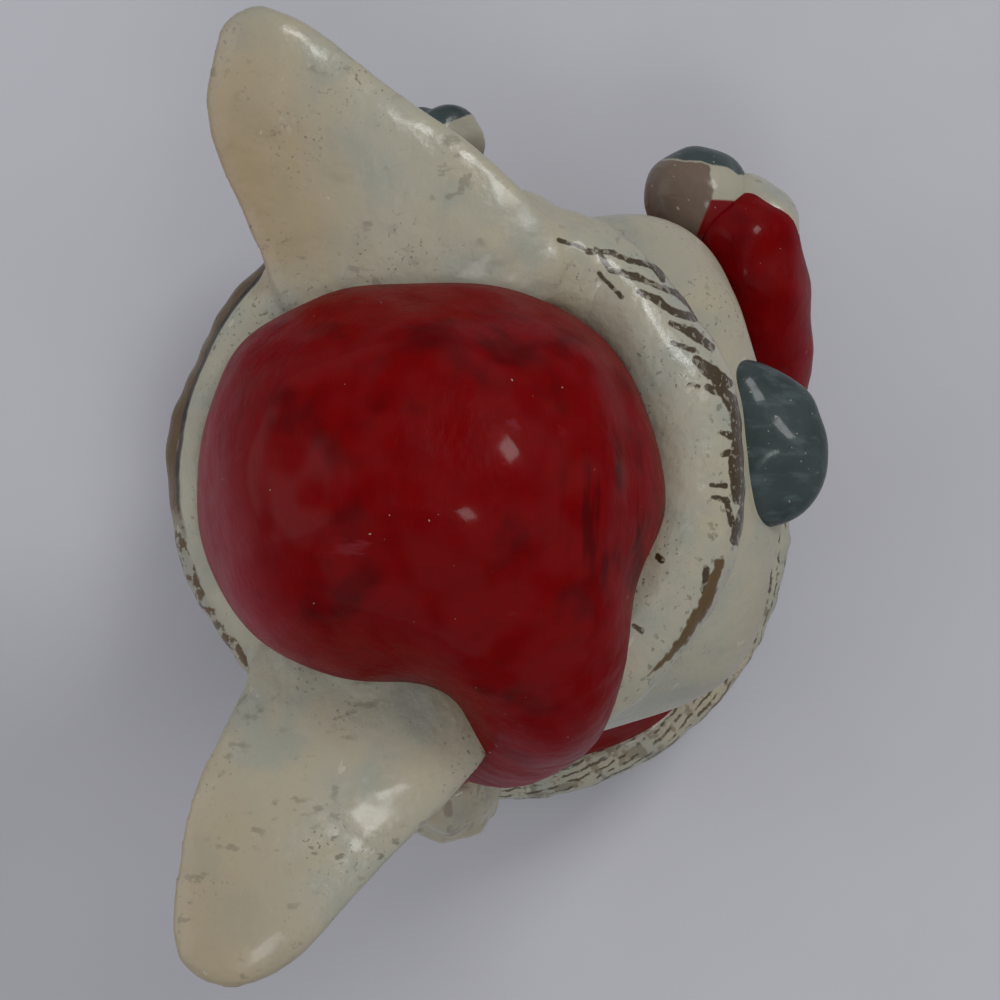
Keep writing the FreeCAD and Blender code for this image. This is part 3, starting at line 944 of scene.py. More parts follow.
@dataclass
class Cap:
    """The red cap: fur brim, crown with its drooping end, and pom-pom.

    Attributes:
        brim_radius, brim_roll, brim_level: the brim's radius, thickness and level.
        seat: the level where the brim rests on the head.
        crown_middle, crown_half_sizes: the crown's egg.
        crown_low, crown_top: the levels between which cloth is kept.
        crown_fillet: how wide the rounding between crown and drooping end is.
        tail: rows of x, y, z and radius of the drooping end.
        pom_pom_middle, pom_pom_radius: the pom-pom's ball.
        tufts, tuft_depth: how many tufts are combed round the brim, and how deep.
        crease, crease_spread: the middle and the spread of the creases near the front.
        crease_depth: how deep they are.
        crease_shade: the middle of the painted shade in them.
        band_edge: the inner radius of the band that is brushed round the brim.
        strokes: the short brush strokes on the brim.
        long_stroke: the last, long one.
    """

    brim_radius: float = 57.0
    brim_roll: float = 13.5
    brim_level: float = 214.0
    seat: float = 203.0
    crown_middle: Triple = (-3.0, 4.5, 228.0)
    crown_half_sizes: Triple = (48.5, 55.5, 61.0)
    crown_low: float = 150.0
    crown_top: float = 288.8
    crown_fillet: float = 12.0
    tail: tuple[Station, ...] = (
        (-12.2, -9.9, 252.0, 30.0),
        (-36.0, -18.5, 244.0, 25.0),
        (-51.0, -21.0, 231.0, 19.5),
        (-59.7, -14.0, 214.0, 16.0),
        (-62.2, 0.0, 194.0, 12.0),
        (-69.4, 7.8, 165.5, 8.0),
    )
    pom_pom_middle: Triple = (-75.8, 7.8, 152.0)
    pom_pom_radius: float = 14.2
    tufts: int = 46
    tuft_depth: float = 0.16
    crease: tuple[float, float] = (-14.0, -42.0)
    crease_spread: tuple[float, float] = (16.0, 9.0)
    crease_depth: float = 0.35
    crease_shade: Triple = (-12.0, -42.0, 0.0)
    band_edge: float = 66.9
    strokes: tuple[Stroke, ...] = tuple(
        Stroke(path)
        for path in (
            ((55.2, -26.0, 0.2), (52.5, -34.9, 0.25)),
            (
                (52.5, -32.5, 0.2), (52.7, -38.7, 0.6), (51.0, -42.0, 0.35), (49.8, -48.2, 0.6),
                (46.5, -50.6, 0.3),
            ),
            (
                (53.3, -34.9, 0.2), (48.3, -38.0, 0.5), (46.8, -44.5, 0.7), (44.5, -50.0, 0.4),
                (43.4, -54.0, 0.7), (39.4, -57.8, 0.3),
            ),
            ((47.6, -35.2, 0.15), (41.7, -40.9, 0.25)),
            ((43.0, -45.2, 0.4), (41.1, -49.3, 1.0), (38.8, -52.4, 0.6), (37.5, -57.8, 0.9)),
            ((35.5, -52.4, 0.3), (33.3, -57.9, 1.1), (30.2, -61.9, 0.8)),
            ((30.6, -52.9, 0.3), (29.1, -57.9, 0.6)),
            ((26.6, -58.9, 0.8), (23.6, -62.7, 1.6), (21.5, -66.0, 1.0)),
            ((20.1, -61.3, 0.6), (19.1, -64.8, 1.1)),
            ((21.9, -63.1, 0.6), (17.3, -66.7, 1.5), (12.7, -69.0, 1.2)),
            ((15.5, -67.9, 1.2), (7.6, -68.8, 1.4), (0.2, -67.9, 1.5), (-6.9, -68.7, 0.9)),
            ((7.0, -70.3, 0.9), (0.7, -70.4, 0.8), (-9.0, -69.9, 0.9), (-16.4, -68.0, 1.2)),
            ((9.3, -64.8, 0.3), (8.5, -66.9, 0.6)),
            ((3.8, -65.0, 0.3), (4.6, -67.4, 0.6)),
            ((-3.6, -62.2, 0.2), (-3.7, -65.4, 0.5)),
            ((-6.4, -62.6, 0.2), (-7.1, -65.8, 0.5)),
            ((-8.2, -66.0, 0.4), (-12.7, -67.1, 0.6)),
            ((-23.4, -61.1, 0.4), (-28.6, -60.4, 0.6)),
            ((-20.6, -49.5, 0.5), (-21.6, -50.4, 0.5)),
            ((-37.4, -43.7, 0.3), (-38.3, -45.4, 0.5)),
            ((50.0, -49.1, 0.6), (47.0, -50.6, 0.35)),
            ((20.5, -57.2, 0.3), (20.2, -58.9, 0.3)),
        )
    )
    long_stroke: Stroke = Stroke(
        (
            (-21.9, -64.2, 1.0), (-31.0, -61.0, 1.5), (-35.8, -58.2, 1.3), (-40.6, -55.2, 1.1),
            (-44.2, -52.1, 0.8), (-49.5, -46.8, 0.1),
        )
    )

    def brim_form(self) -> Form:
        """Shape the brim's roll, with tufts combed over its outer side.

        Returns:
            The brim's form.
        """
        roll = hoop(self.brim_radius, self.brim_roll, self.brim_level)

        def tufts(p: Points) -> np.ndarray:
            """Comb shallow grooves over the outer side.

            Args:
                p: the points, as an array of three coordinates.

            Returns:
                The heights in millimetres.
            """
            angle = np.arctan2(p[0], -p[1])
            reach = np.hypot(p[0], p[1]) - self.brim_radius
            lean = np.arctan2(reach, p[2] - self.brim_level)
            comb = np.sin(angle * self.tufts + lean * 3.0 + 1.3 * np.sin(angle * 7))
            outer = np.clip((lean - 0.5) / 0.5, 0, 1) * np.clip((2.9 - lean) / 0.6, 0, 1)
            return self.tuft_depth * comb * outer

        furred = roll.rough(tufts).rough(Relief(3, size=26, depth=0.45))
        return furred & slab(UP, self.seat, self.seat + 4 * self.brim_roll)

    def crown_form(self) -> Form:
        """Shape the crown and its drooping end.

        Returns:
            The crown's form.
        """
        dome = squarish(self.crown_middle, self.crown_half_sizes)
        cloth = dome.blend(limb(self.tail), self.crown_fillet)

        def creases(p: Points) -> np.ndarray:
            """Draw the cloth in a little near the front, where the end begins to droop."""
            x, y = ((p[n] - self.crease[n]) / self.crease_spread[n] for n in range(2))
            return self.crease_depth * np.exp(-(x**2) - y**2) * np.sin(p[1] * 0.9 + p[0] * 0.12)

        cloth = cloth.rough(creases).rough(Relief(5, size=34, depth=0.6))
        return cloth & slab(UP, self.crown_low, self.crown_top)

    def painted_sheen(self) -> tuple[Mask, ...]:
        """Give the painted reflection: a pink sheen painted into the red at the back and towards
        the drooping end.

        Returns:
            The masks.
        """

        def back(tree: Tree) -> Socket:
            """Paint the pink reflection towards the back and down the side."""
            reach = tree.y * 0.95 - tree.x * 0.25 - (tree.z - self.crown_middle[2]) * 0.3
            return (reach + tree.unsteady(16, 3, 10)).rise(24, 50) * 0.9

        def end(tree: Tree) -> Socket:
            """Fade the painted pink reflection towards the drooping end."""
            return (tree.x * -1.0 + tree.unsteady(9, 3, 12)).rise(58, 82) * 0.75

        return (back, end)

    def painted_crease_shade(self, tree: Tree) -> Socket:
        """Paint shade into the creases near the front: dark lines where the folds would lie in
        shadow.

        Args:
            tree: the material.

        Returns:
            The mask, 0 to 1.
        """
        local = tree.vector("SUBTRACT", tree.point, self.crease_shade)
        near = tree.vector("LENGTH", tree.vector("MULTIPLY", local, (1, 1.5, 0)))
        lines = tree.noise(3.4, 2, (7, 1, 3), shift=14).rise(0.5, 0.66)
        return lines * near.fall(12, 24) * 0.8

    def brim_accents(self) -> Accents:
        """Give the brim's brushed colours and its painted shadow line.

        Returns:
            The colours with their masks, the lowest first.
        """

        def band(tree: Tree) -> Socket:
            """Lay a band round the lower outer side, broken into dabs.

            Args:
                tree: the material.

            Returns:
                The mask, 0 to 1.
            """
            low = tree.away() + tree.unsteady(4, 4, 3, 2)
            low = low.rise(self.band_edge - 0.3, self.band_edge + 0.4)
            flakes = tree.noise(2.6, 4, (1, 1, 2), shift=6).rise(0.46, 0.54)
            flakes = flakes * (tree.x * -1.0).rise(2, 20)
            return low * (1 - flakes * 0.85) * tree.y.rise(-8, 6)

        def painted_shadow_line(tree: Tree) -> Socket:
            """Draw a painted shadow: a dark line along the inner side of the band."""
            line = abs(tree.away() + tree.unsteady(8, 2, 1.6, 2) - self.band_edge)
            return line.fall(0.3, 0.8) * tree.y.rise(2, 16) * tree.x.rise(-18, 0) * 0.9

        def ridge(tree: Tree) -> Socket:
            """Scatter faint dabs near the front edge.

            Args:
                tree: the material.

            Returns:
                The mask, 0 to 1.
            """
            dabs = tree.noise(2.2, 3, shift=21).rise(0.60, 0.66)
            outer = tree.away().rise(self.brim_radius + 2, self.brim_radius + 8)
            return outer * dabs * tree.y.fall(-50, -25) * 0.5

        def wedge(tree: Tree) -> Socket:
            """Lay the last long stroke."""
            gap = self.long_stroke.gap(tree, tree.shaken(2.2, 1.9))
            return gap.fall(-0.3, 0.25) * self.upper(tree)

        # The ink line is painted shadow; the others are brushed colours.
        strokes = ((Chip.UMBER, self.fur), (Chip.OLIVE, wedge))
        return ((Chip.OLIVE, band), (Chip.INK, painted_shadow_line), (Chip.SOOT, ridge), *strokes)

    def fur(self, tree: Tree) -> Socket:
        """Lay the drawn strokes, with ragged and flaked edges.

        Args:
            tree: the material.

        Returns:
            The mask, 0 to 1.
        """
        place = tree.shaken(2.8, 1.3)
        gap = self.strokes[0].gap(tree, place)
        for stroke in self.strokes[1:]:
            gap = gap & stroke.gap(tree, place)
        flakes = tree.noise(1.7, 4, shift=27).rise(0.57, 0.62)
        return gap.fall(0.1, 0.5) * (1 - flakes * 0.5) * self.upper(tree)

    def upper(self, tree: Tree) -> Socket:
        """Keep to the brim's upper side, with a ragged lower edge."""
        return (tree.z - self.brim_level + tree.unsteady(4, 3, 12, 21)).rise(-6, -3)

    def build(self) -> None:
        """Cast and dress the cap's pieces."""
        brim = CreamPaint("brim_fur_paint", accents=self.brim_accents(), soiling=0.75)
        Piece("fur_brim", ("cap_brim",), "cream_paint", self.brim_form(), grain=1.1).cast(brim)
        # The cap's red carries a painted pink reflection and painted shade in its creases.
        red = RedPaint("cap_red_paint", pink_sheen_and_wear=self.painted_sheen(), shade=(self.painted_crease_shade,))
        crown = self.crown_form()
        Piece("cap_crown_cloth", ("cap_crown",), "red_paint", crown, grain=1.3).cast(red)

        def dabs(tree: Tree) -> Socket:
            """Brush the tufts brown."""
            return tree.noise(4, 3, (3, 1, 1), shift=3).rise(0.56, 0.64) * 0.5

        puff = ball(self.pom_pom_middle, self.pom_pom_radius)
        puff = puff.rough(Relief(8, size=10, depth=0.6)).rough(Relief(9, size=4, depth=0.12))
        accents = ((Chip.AIRBRUSH, warm_all), (Chip.TAN, dabs))
        fluffy = CreamPaint("pom_pom_paint", accents=accents, soiling=0.4)
        Piece("pom_pom_tuft", ("pom_pom",), "cream_paint", puff, grain=0.8, spare=2.0).cast(fluffy)


def warm_all(tree: Tree) -> Socket:
    """Warm a piece all over, unevenly."""
    return tree.noise(12, 2, shift=4).rise(0.3, 0.7) * 0.5


@dataclass
class Ear:
    """One wide leaf ear, laid on the brim.

    Attributes:
        side: which ear it is.
        stations: rows of x, y, z, half width and half thickness, from the root to the tip.
        seed: the seed of its unevenness.
        grip: how far from the leaf it reaches onto the brim.
        fillet: how wide the rounding between leaf and brim is.
        skin: how far under the brim's skin it ends.
    """

    side: Side
    stations: tuple[tuple[float, float, float, float, float], ...]
    seed: int
    grip: float = 13.0
    fillet: float = 11.0
    skin: float = 0.35

    def form(self, brim: Form) -> Form:
        """Shape the leaf, with a fillet onto the brim.

        Args:
            brim: the brim's form.

        Returns:
            The ear's form.
        """
        run = smooth_run(self.stations, 10)
        away = 1.0 if self.side is Side.LEFT else -1.0
        out = run[:, 0] * away

        def at(p: Points) -> np.ndarray:
            """Give the distance to the leaf's oval sections.

            Args:
                p: the points, as an array of three coordinates.

            Returns:
                The distances in millimetres.
            """
            reach = p[0] * away
            sections = (np.interp(reach, out, run[:, n]) for n in range(1, 5))
            middle_y, middle_z, wide, thick = sections
            dy, dz = p[1] - middle_y, p[2] - middle_z
            near = np.sqrt((dy / wide) ** 2 + (dz / thick) ** 2)
            slope = np.sqrt((dy / wide**2) ** 2 + (dz / thick**2) ** 2)
            skin = near * (near - 1) / np.maximum(slope, TINY)
            ends = np.maximum(out[0] - reach, reach - out[-1])
            return np.maximum(skin, ends).astype(np.float32)

        leaf = Form(at)
        seated = leaf.blend(brim.grown(-self.skin), self.fillet) & leaf.grown(self.grip)
        seated = seated.rough(Relief(self.seed, size=30, depth=0.45))
        return seated.rough(Relief(self.seed + 1, size=9, depth=0.1))

    def blush(self, tree: Tree) -> Socket:
        """Airbrush the ear's back half and root a warm tan.

        Args:
            tree: the material.

        Returns:
            The mask, 0 to 1.
        """
        if self.side is Side.LEFT:
            back = (tree.y * 0.9 - tree.x * 0.2 + tree.unsteady(14, 2, 12)).rise(-4, 32)
            return back * (tree.x.fall(70, 112) * 0.6 + 0.35) * tree.x.rise(38, 54)
        back = (tree.y * 0.8 - tree.x * 0.45 + tree.unsteady(14, 2, 12)).rise(62, 98)
        return back * 0.6

    def soil(self, tree: Tree) -> Socket:
        """Leave dark rubbed dirt in patches."""
        patch = tree.noise(13, 3, shift=31).rise(0.56, 0.64)
        return tree.noise(2.6, 5, (1, 1.8, 1), shift=17).rise(0.55, 0.64) * patch * 0.35

    def build(self, cap: Cap) -> None:
        """Cast and dress the ear on the cap's brim, whose strokes run onto its root.

        Args:
            cap: the cap that the ear stands on.
        """
        side = self.side.value
        accents = ((Chip.AIRBRUSH, self.blush), (Chip.SOOT, self.soil), (Chip.UMBER, cap.fur))
        cream = CreamPaint(f"ear_{side}_paint", accents=accents)
        form = self.form(cap.brim_form())
        Piece(
            f"leaf_ear_{side}", (f"ear_{side}",), "cream_paint", form, grain=1.1, spare=12.0
        ).cast(cream)


@dataclass(frozen=True)
class Spot:
    """A soft oval painted on both sides of the face.

    Attributes:
        chip: its colour.
        middle: its middle in the head's own frame.
        half_sizes: its half width and half height.
        edge: where its edge starts and ends, in shares of its half sizes.
        depth: how far it reaches forwards and back.
        strength: how strongly it is laid on.
    """

    chip: Chip
    middle: Triple
    half_sizes: tuple[float, float]
    edge: tuple[float, float]
    depth: float = 8.0
    strength: float = 1.0


@dataclass
class Head:
    """The head, turned a little to its left, with calm eyes and a soft nose.

    Attributes:
        yaw: how far it is turned, in degrees.
        rings: rows of level, radius and the middle's place along Y.
        cheek, far_cheek: the middles of the two cheeks, each with its half sizes.
        muzzle, eye, nose, nose_wing, nostril: the same of these bulges and dents.
        fillets: how wide the roundings at the cheeks, the muzzle and the eyes are.
        nose_fillets: the same at the nose's wing and at its nostrils.
        lip: rows of x, y, z and radius of the mouth's groove, on the left side.
        lip_fillet: how wide the rounding of the groove's edges is.
        spots: the ovals painted on the face, the lowest first; the last is a painted highlight dot
            in each pupil.
        face_shift: how far in front of an oval's middle its depth is counted from.
        smile: the mouth line's half spread, rise and lowest level.
    """

    yaw: float = 7.0
    rings: tuple[Triple, ...] = (
        (138.0, 35.0, -4.0),
        (145.8, 53.6, -6.4),
        (157.5, 65.0, -8.0),
        (170.5, 66.6, -7.6),
        (184.8, 63.6, -4.0),
        (195.2, 60.0, -1.6),
        (203.0, 56.0, -0.8),
    )
    cheek: Triple = (34.0, -43.0, 160.0)
    cheek_half_sizes: Triple = (30.0, 30.0, 23.0)
    far_cheek: Triple = (-31.5, -42.0, 160.0)
    far_cheek_half_sizes: Triple = (29.0, 28.0, 22.0)
    muzzle: Triple = (0.0, -51.0, 160.0)
    muzzle_half_sizes: Triple = (30.0, 27.0, 18.0)
    eye: Triple = (18.5, -57.0, 192.0)
    eye_half_sizes: Triple = (8.0, 6.0, 7.8)
    nose: Triple = (0.0, -75.0, 169.0)
    nose_half_sizes: Triple = (20.0, 16.0, 10.6)
    nose_wing: Triple = (14.5, -70.5, 171.0)
    nose_wing_half_sizes: Triple = (8.5, 8.0, 8.0)
    nostril: Triple = (8.5, -90.0, 163.5)
    nostril_half_sizes: Triple = (3.2, 3.0, 2.4)
    fillets: Triple = (14.0, 12.0, 2.5)
    nose_fillets: tuple[float, float] = (5.0, 3.0)
    lip: tuple[Station, ...] = (
        (0.0, -78.5, 158.0, 1.2),
        (9.0, -77.5, 152.5, 1.3),
        (18.0, -73.0, 151.0, 1.1),
        (25.0, -68.5, 154.5, 0.7),
    )
    lip_fillet: float = 2.0
    spots: tuple[Spot, ...] = (
        Spot(Chip.AIRBRUSH, (38.0, -57.0, 163.0), (20.0, 15.0), (0.2, 1.3), 30.0, 0.35),
        Spot(Chip.INK, (18.5, -57.0, 192.0), (8.2, 7.8), (0.98, 1.06)),
        Spot(Chip.PLASTER, (18.5, -57.0, 191.7), (7.4, 7.0), (0.96, 1.04)),
        Spot(Chip.INK, (17.3, -57.0, 191.0), (4.0, 4.8), (0.93, 1.05)),
        # A painted highlight: a small pale dot in each pupil.
        Spot(Chip.PLASTER, (18.3, -57.0, 192.8), (1.2, 1.3), (0.8, 1.1)),
    )
    face_shift: float = 4.2
    smile: Triple = (16.0, 6.5, 151.2)

    def mirrored(self, middle: Triple, half_sizes: Triple) -> Form:
        """Make a pair of ellipsoids on both sides of the face."""
        x, y, z = middle
        return ellipsoid((x, y, z), half_sizes) | ellipsoid((-x, y, z), half_sizes)

    def form(self) -> Form:
        """Shape the head with its cheeks, muzzle, eyes and mouth.

        Returns:
            The head's form.
        """
        cheeks = ellipsoid(self.cheek, self.cheek_half_sizes)
        cheeks = cheeks | ellipsoid(self.far_cheek, self.far_cheek_half_sizes)
        at_cheeks, at_muzzle, at_eyes = self.fillets
        skull = turned(self.rings).blend(cheeks, at_cheeks)
        skull = skull.blend(ellipsoid(self.muzzle, self.muzzle_half_sizes), at_muzzle)
        skull = skull.blend(self.mirrored(self.eye, self.eye_half_sizes), at_eyes)
        lips = limb(self.lip) | limb([(-x, y, z, radius) for x, y, z, radius in self.lip])
        skull = skull.carve(lips, self.lip_fillet).rough(Relief(21, size=30, depth=0.5))
        ends = slab(UP, self.rings[0][0], self.rings[-1][0])
        return skull.turned_about_up(self.yaw) & ends

    def nose_form(self) -> Form:
        """Shape the nose, with two shallow nostrils.

        Returns:
            The nose's form.
        """
        at_wing, at_nostrils = self.nose_fillets
        pad = ellipsoid(self.nose, self.nose_half_sizes)
        pad = pad.blend(ellipsoid(self.nose_wing, self.nose_wing_half_sizes), at_wing)
        pad = pad.carve(self.mirrored(self.nostril, self.nostril_half_sizes), at_nostrils)
        return pad.rough(Relief(23, size=14, depth=0.3)).turned_about_up(self.yaw)

    def local(self, tree: Tree) -> tuple[Socket, Socket]:
        """Give the head's own x and y coordinates in a material."""
        cosine, sine = math.cos(math.radians(self.yaw)), math.sin(math.radians(self.yaw))
        return tree.x * cosine + tree.y * sine, tree.y * cosine - tree.x * sine

    def oval(self, spot: Spot) -> Mask:
        """Give the mask of a painted oval.

        Args:
            spot: the oval.

        Returns:
            The mask, which covers both sides of the face.
        """
        (x0, y0, z0), (wide, high) = spot.middle, spot.half_sizes

        def mask(tree: Tree) -> Socket:
            """Fill the oval, but not through to the back of the head.

            Args:
                tree: the material.

            Returns:
                The mask, 0 to 1.
            """
            x, y = self.local(tree)
            dx, dz = (abs(x) - x0) / wide, (tree.z - z0) / high
            behind = abs(y - y0 + self.face_shift).rise(spot.depth, spot.depth + 0.6)
            gap = (dx * dx + dz * dz).maths("SQRT") + behind * 9
            return gap.fall(*spot.edge) * spot.strength

        return mask

    def mouth(self, tree: Tree) -> Socket:
        """Draw the mouth in its carved line.

        Args:
            tree: the material.

        Returns:
            The mask, 0 to 1.
        """
        x, y = self.local(tree)
        spread, height, low = self.smile
        level = (abs(abs(x) - spread) / spread).maths("POWER", 2.0) * height + low
        line = abs(tree.z - level + tree.unsteady(4, 2, 0.8)).fall(0.7, 1.3)
        return line * abs(x).fall(23.5, 25.5) * y.fall(-60, -55)

    def accents(self) -> Accents:
        """Give the painted eyes with their painted highlight dots, the mouth line and warm cheeks.
        """
        ovals = ((spot.chip, self.oval(spot)) for spot in self.spots)
        return (*ovals, (Chip.UMBER, self.mouth))

    def build(self) -> None:
        """Cast and dress the head and its nose."""
        skin = CreamPaint("head_paint", accents=self.accents())
        Piece("head_shell", ("head_casting",), "cream_paint", self.form(), grain=1.2).cast(skin)
        gloss = SlatePaint("nose_paint")
        nose = self.nose_form()
        Piece("nose_button", ("nose_pad",), "slate_paint", nose, grain=0.9, spare=2.0).cast(gloss)


@dataclass
class Coat:
    """The red coat over its core, with fur round the hem and down the front.

    Attributes:
        rings: rows of level, radius and the middle's place along Y.
        core_radius, core_levels: the radius and the levels of the core under the coat.
        roll_radius, roll, roll_level: the hem roll's radius, thickness and level.
        strip_half_width, strip_thickness: half the front strip's width, and its thickness.
        strip_levels: the levels between which the strip runs.
        strip_reach: the span along Y in which it runs.
        folds, fold_depth: how many folds the coat has, and how deep they are.
        tufts, tuft_depth: how many tufts are combed round the hem, and how deep.
    """

    rings: tuple[Triple, ...] = (
        (42.0, 75.5, 0.0),
        (61.2, 72.1, 0.0),
        (80.4, 64.2, 0.0),
        (99.6, 56.2, 0.0),
        (117.8, 51.0, 0.0),
        (130.3, 45.3, 0.0),
        (138.0, 34.7, 0.0),
    )
    core_radius: float = 54.0
    core_levels: Triple = (14.0, 30.0, 46.0)
    roll_radius: float = 73.6
    roll: float = 7.3
    roll_level: float = 50.0
    strip_half_width: float = 8.5
    strip_thickness: float = 3.6
    strip_levels: tuple[float, float] = (51.0, 137.5)
    strip_reach: tuple[float, float] = (-95.0, -20.0)
    folds: int = 11
    fold_depth: float = 0.8
    tufts: int = 62
    tuft_depth: float = 0.1

    def shell(self) -> Form:
        """Shape the coat's bell."""
        return turned(self.rings)

    def form(self) -> Form:
        """Shape the coat over its core, with soft folds.

        Returns:
            The coat's form.
        """

        def waves(p: Points) -> np.ndarray:
            """Wave the cloth, more towards the hem.

            Args:
                p: the points, as an array of three coordinates.

            Returns:
                The heights in millimetres.
            """
            angle = np.arctan2(p[0], -p[1])
            low = np.clip((120 - p[2]) / 70, 0, 1)
            wave = np.sin(angle * self.folds + 0.7 * np.sin(angle * 3 + 1))
            return self.fold_depth * low * wave

        core = turned([(level, self.core_radius, 0) for level in self.core_levels])
        return self.shell().rough(waves) | core

    def fur(self, p: Points) -> np.ndarray:
        """Give the fur's lumps and combed tufts.

        Args:
            p: the points, as an array of three coordinates.

        Returns:
            The heights in millimetres.
        """
        angle = np.arctan2(p[0], -p[1])
        comb = np.sin(angle * self.tufts + p[2] * 0.55 + 1.5 * np.sin(angle * 9))
        lumps = self.tuft_depth * comb + Relief(31, size=12, depth=0.2)(p)
        return lumps + Relief(32, size=4, depth=0.08)(p)

    def roll_form(self) -> Form:
        """Shape the fur roll round the hem."""
        return hoop(self.roll_radius, self.roll, self.roll_level).rough(self.fur)

    def strip_form(self) -> Form:
        """Shape the fur strip down the front.

        Returns:
            The strip's form.
        """
        band = self.shell().grown(self.strip_thickness)
        band = band & slab(ACROSS, -self.strip_half_width, self.strip_half_width)
        front = slab(ALONG, *self.strip_reach) & slab(UP, *self.strip_levels)

        def lumps(p: Points) -> np.ndarray:
            """Give the strip's tufts."""
            return 0.3 * np.sin(p[2] * 1.1 + p[0] * 0.5) + Relief(34, size=7, depth=0.4)(p) - 0.5

        return (band & front).rough(lumps)

    def build(self) -> None:
        """Cast and dress the coat's pieces."""

        def dusty(tree: Tree) -> Socket:
            """Rub the red pink near the hem."""
            return (tree.z + tree.unsteady(8, 4, 12)).fall(56, 66) * 0.4

        red = RedPaint("coat_red_paint", pink_sheen_and_wear=(dusty,))
        Piece("coat_shell", ("body_casting",), "red_paint", self.form(), grain=1.7).cast(red)
        accents = ((Chip.OLIVE, fur_dabs), (Chip.UMBER, fur_lines))
        fur = CreamPaint("fur_trim_paint", accents=accents, soiling=0.9)
        Piece("fur_hem", ("coat_hem_trim",), "cream_paint", self.roll_form(), grain=1.1).cast(fur)
        strip = self.strip_form()
        Piece(
            "fur_front", ("coat_front_trim",), "cream_paint", strip, grain=1.1, spare=3.0
        ).cast(fur)


def fur_dabs(tree: Tree) -> Socket:
    """Brush broken olive dabs over fur."""
    return tree.noise(5, 4, (1, 1, 2), shift=5).rise(0.52, 0.6) * 0.5


def fur_lines(tree: Tree) -> Socket:
    """Draw slanting brown dashes over fur, combed round the figure.

    Args:
        tree: the material.

    Returns:
        The mask, 0 to 1.
    """
    slant = tree.away() * 2.2 - tree.z * 1.5 + tree.y.maths("ARCTAN2", tree.x) * 26
    comb = (slant + tree.unsteady(5, 3, 9, 8)).maths("SINE")
    return comb.rise(0.2, 0.75) * tree.noise(3.6, 3, shift=19).rise(0.42, 0.56) * 0.85


@dataclass
class Arm:
    """One arm with its fur cuff and bare hand.

    Attributes:
        side: which arm it is.
        sleeve: rows of x, y, z and radius of the sleeve.
        cuff: rows of x, y, z and radius of the cuff.
        hand: the hand's middle.
        aim: where the hand points.
        palm: the middle of the palm's tan oval seen from above, if it shows.
        palm_half_sizes: the oval's half sizes.
        palm_edge: where the slate back ends, across the hand.
        hand_half_sizes: the hand's half sizes.
    """

    side: Side
    sleeve: tuple[Station, ...]
    cuff: tuple[Station, ...]
    hand: Triple
    aim: Triple
    palm: tuple[float, float] | None = None
    palm_half_sizes: tuple[float, float] = (16.0, 12.5)
    palm_edge: tuple[float, float] = (96.6, 97.2)
    hand_half_sizes: Triple = (13.4, 13.2, 14.5)

    def hand_form(self) -> Form:
        """Shape the mitten hand."""
        mitten = ellipsoid(self.hand, self.hand_half_sizes, self.aim)
        return mitten.rough(Relief(41, size=12, depth=0.3))

    def hand_accents(self) -> Accents:
        """Give the palm's cream rim, its tan oval and the sleeve's red.

        Returns:
            The colours with their masks, the lowest first.
        """
        if self.palm is None:
            return ()
        (x0, y0), (wide, long) = self.palm, self.palm_half_sizes

        def below(tree: Tree, step: float) -> Socket:
            """Keep to the lower side of the slate back's edge."""
            reach = tree.x - tree.y * 0.2 + tree.unsteady(6, 3, 3) + step
            return reach.fall(*self.palm_edge)

        def rim(tree: Tree) -> Socket:
            """Lay the cream."""
            return below(tree, 0)

        def oval(tree: Tree) -> Socket:
            """Lay the tan.

            Args:
                tree: the material.

            Returns:
                The mask, 0 to 1.
            """
            dx, dy = (tree.x - x0) / wide, (tree.y - y0) / long
            gap = (dx * dx + dy * dy).maths("SQRT") + tree.unsteady(5, 2, 0.2)
            return gap.fall(0.96, 1.02) * below(tree, 0.4)

        def sleeve(tree: Tree) -> Socket:
            """Let the sleeve's red run onto the heel of the hand."""
            edge = (tree.x * 0.435 + tree.y).fall(-28.2, -27.6)
            return edge * tree.x.fall(75.2, 75.8)

        return ((Chip.CREAM, rim), (Chip.TAN, oval), (Chip.RED, sleeve))

    def build(self) -> None:
        """Cast and dress the arm's pieces."""
        side = self.side.value

        def worn(tree: Tree) -> Socket:
            """Rub the sleeve pink along its outer edge."""
            return (tree.y * -1.0 + tree.unsteady(7, 3, 5)).rise(80, 88) * 0.45

        sleeve = limb(self.sleeve).rough(Relief(43, size=16, depth=0.4))
        red = RedPaint("sleeve_red_paint", pink_sheen_and_wear=(worn,))
        Piece(f"sleeve_{side}", (f"arm_{side}",), "red_paint", sleeve, grain=1.1).cast(red)
        cuff = limb(self.cuff, 3).rough(Relief(44, size=8, depth=0.35))
        fur = CreamPaint("cuff_paint", accents=((Chip.OLIVE, cuff_dabs),))
        Piece(
            f"fur_cuff_{side}", (f"cuff_{side}",), "cream_paint", cuff, grain=0.9, spare=5.0
        ).cast(fur)
        skin = SlatePaint(f"paw_{side}_paint", accents=self.hand_accents())
        hand = self.hand_form()
        Piece(
            f"paw_{side}", (f"hand_{side}",), "slate_paint", hand, grain=0.9, spare=2.0
        ).cast(skin)


def cuff_dabs(tree: Tree) -> Socket:
    """Brush a few faint dabs over a cuff."""
    return tree.noise(3.5, 4, shift=9).rise(0.62, 0.68) * 0.5


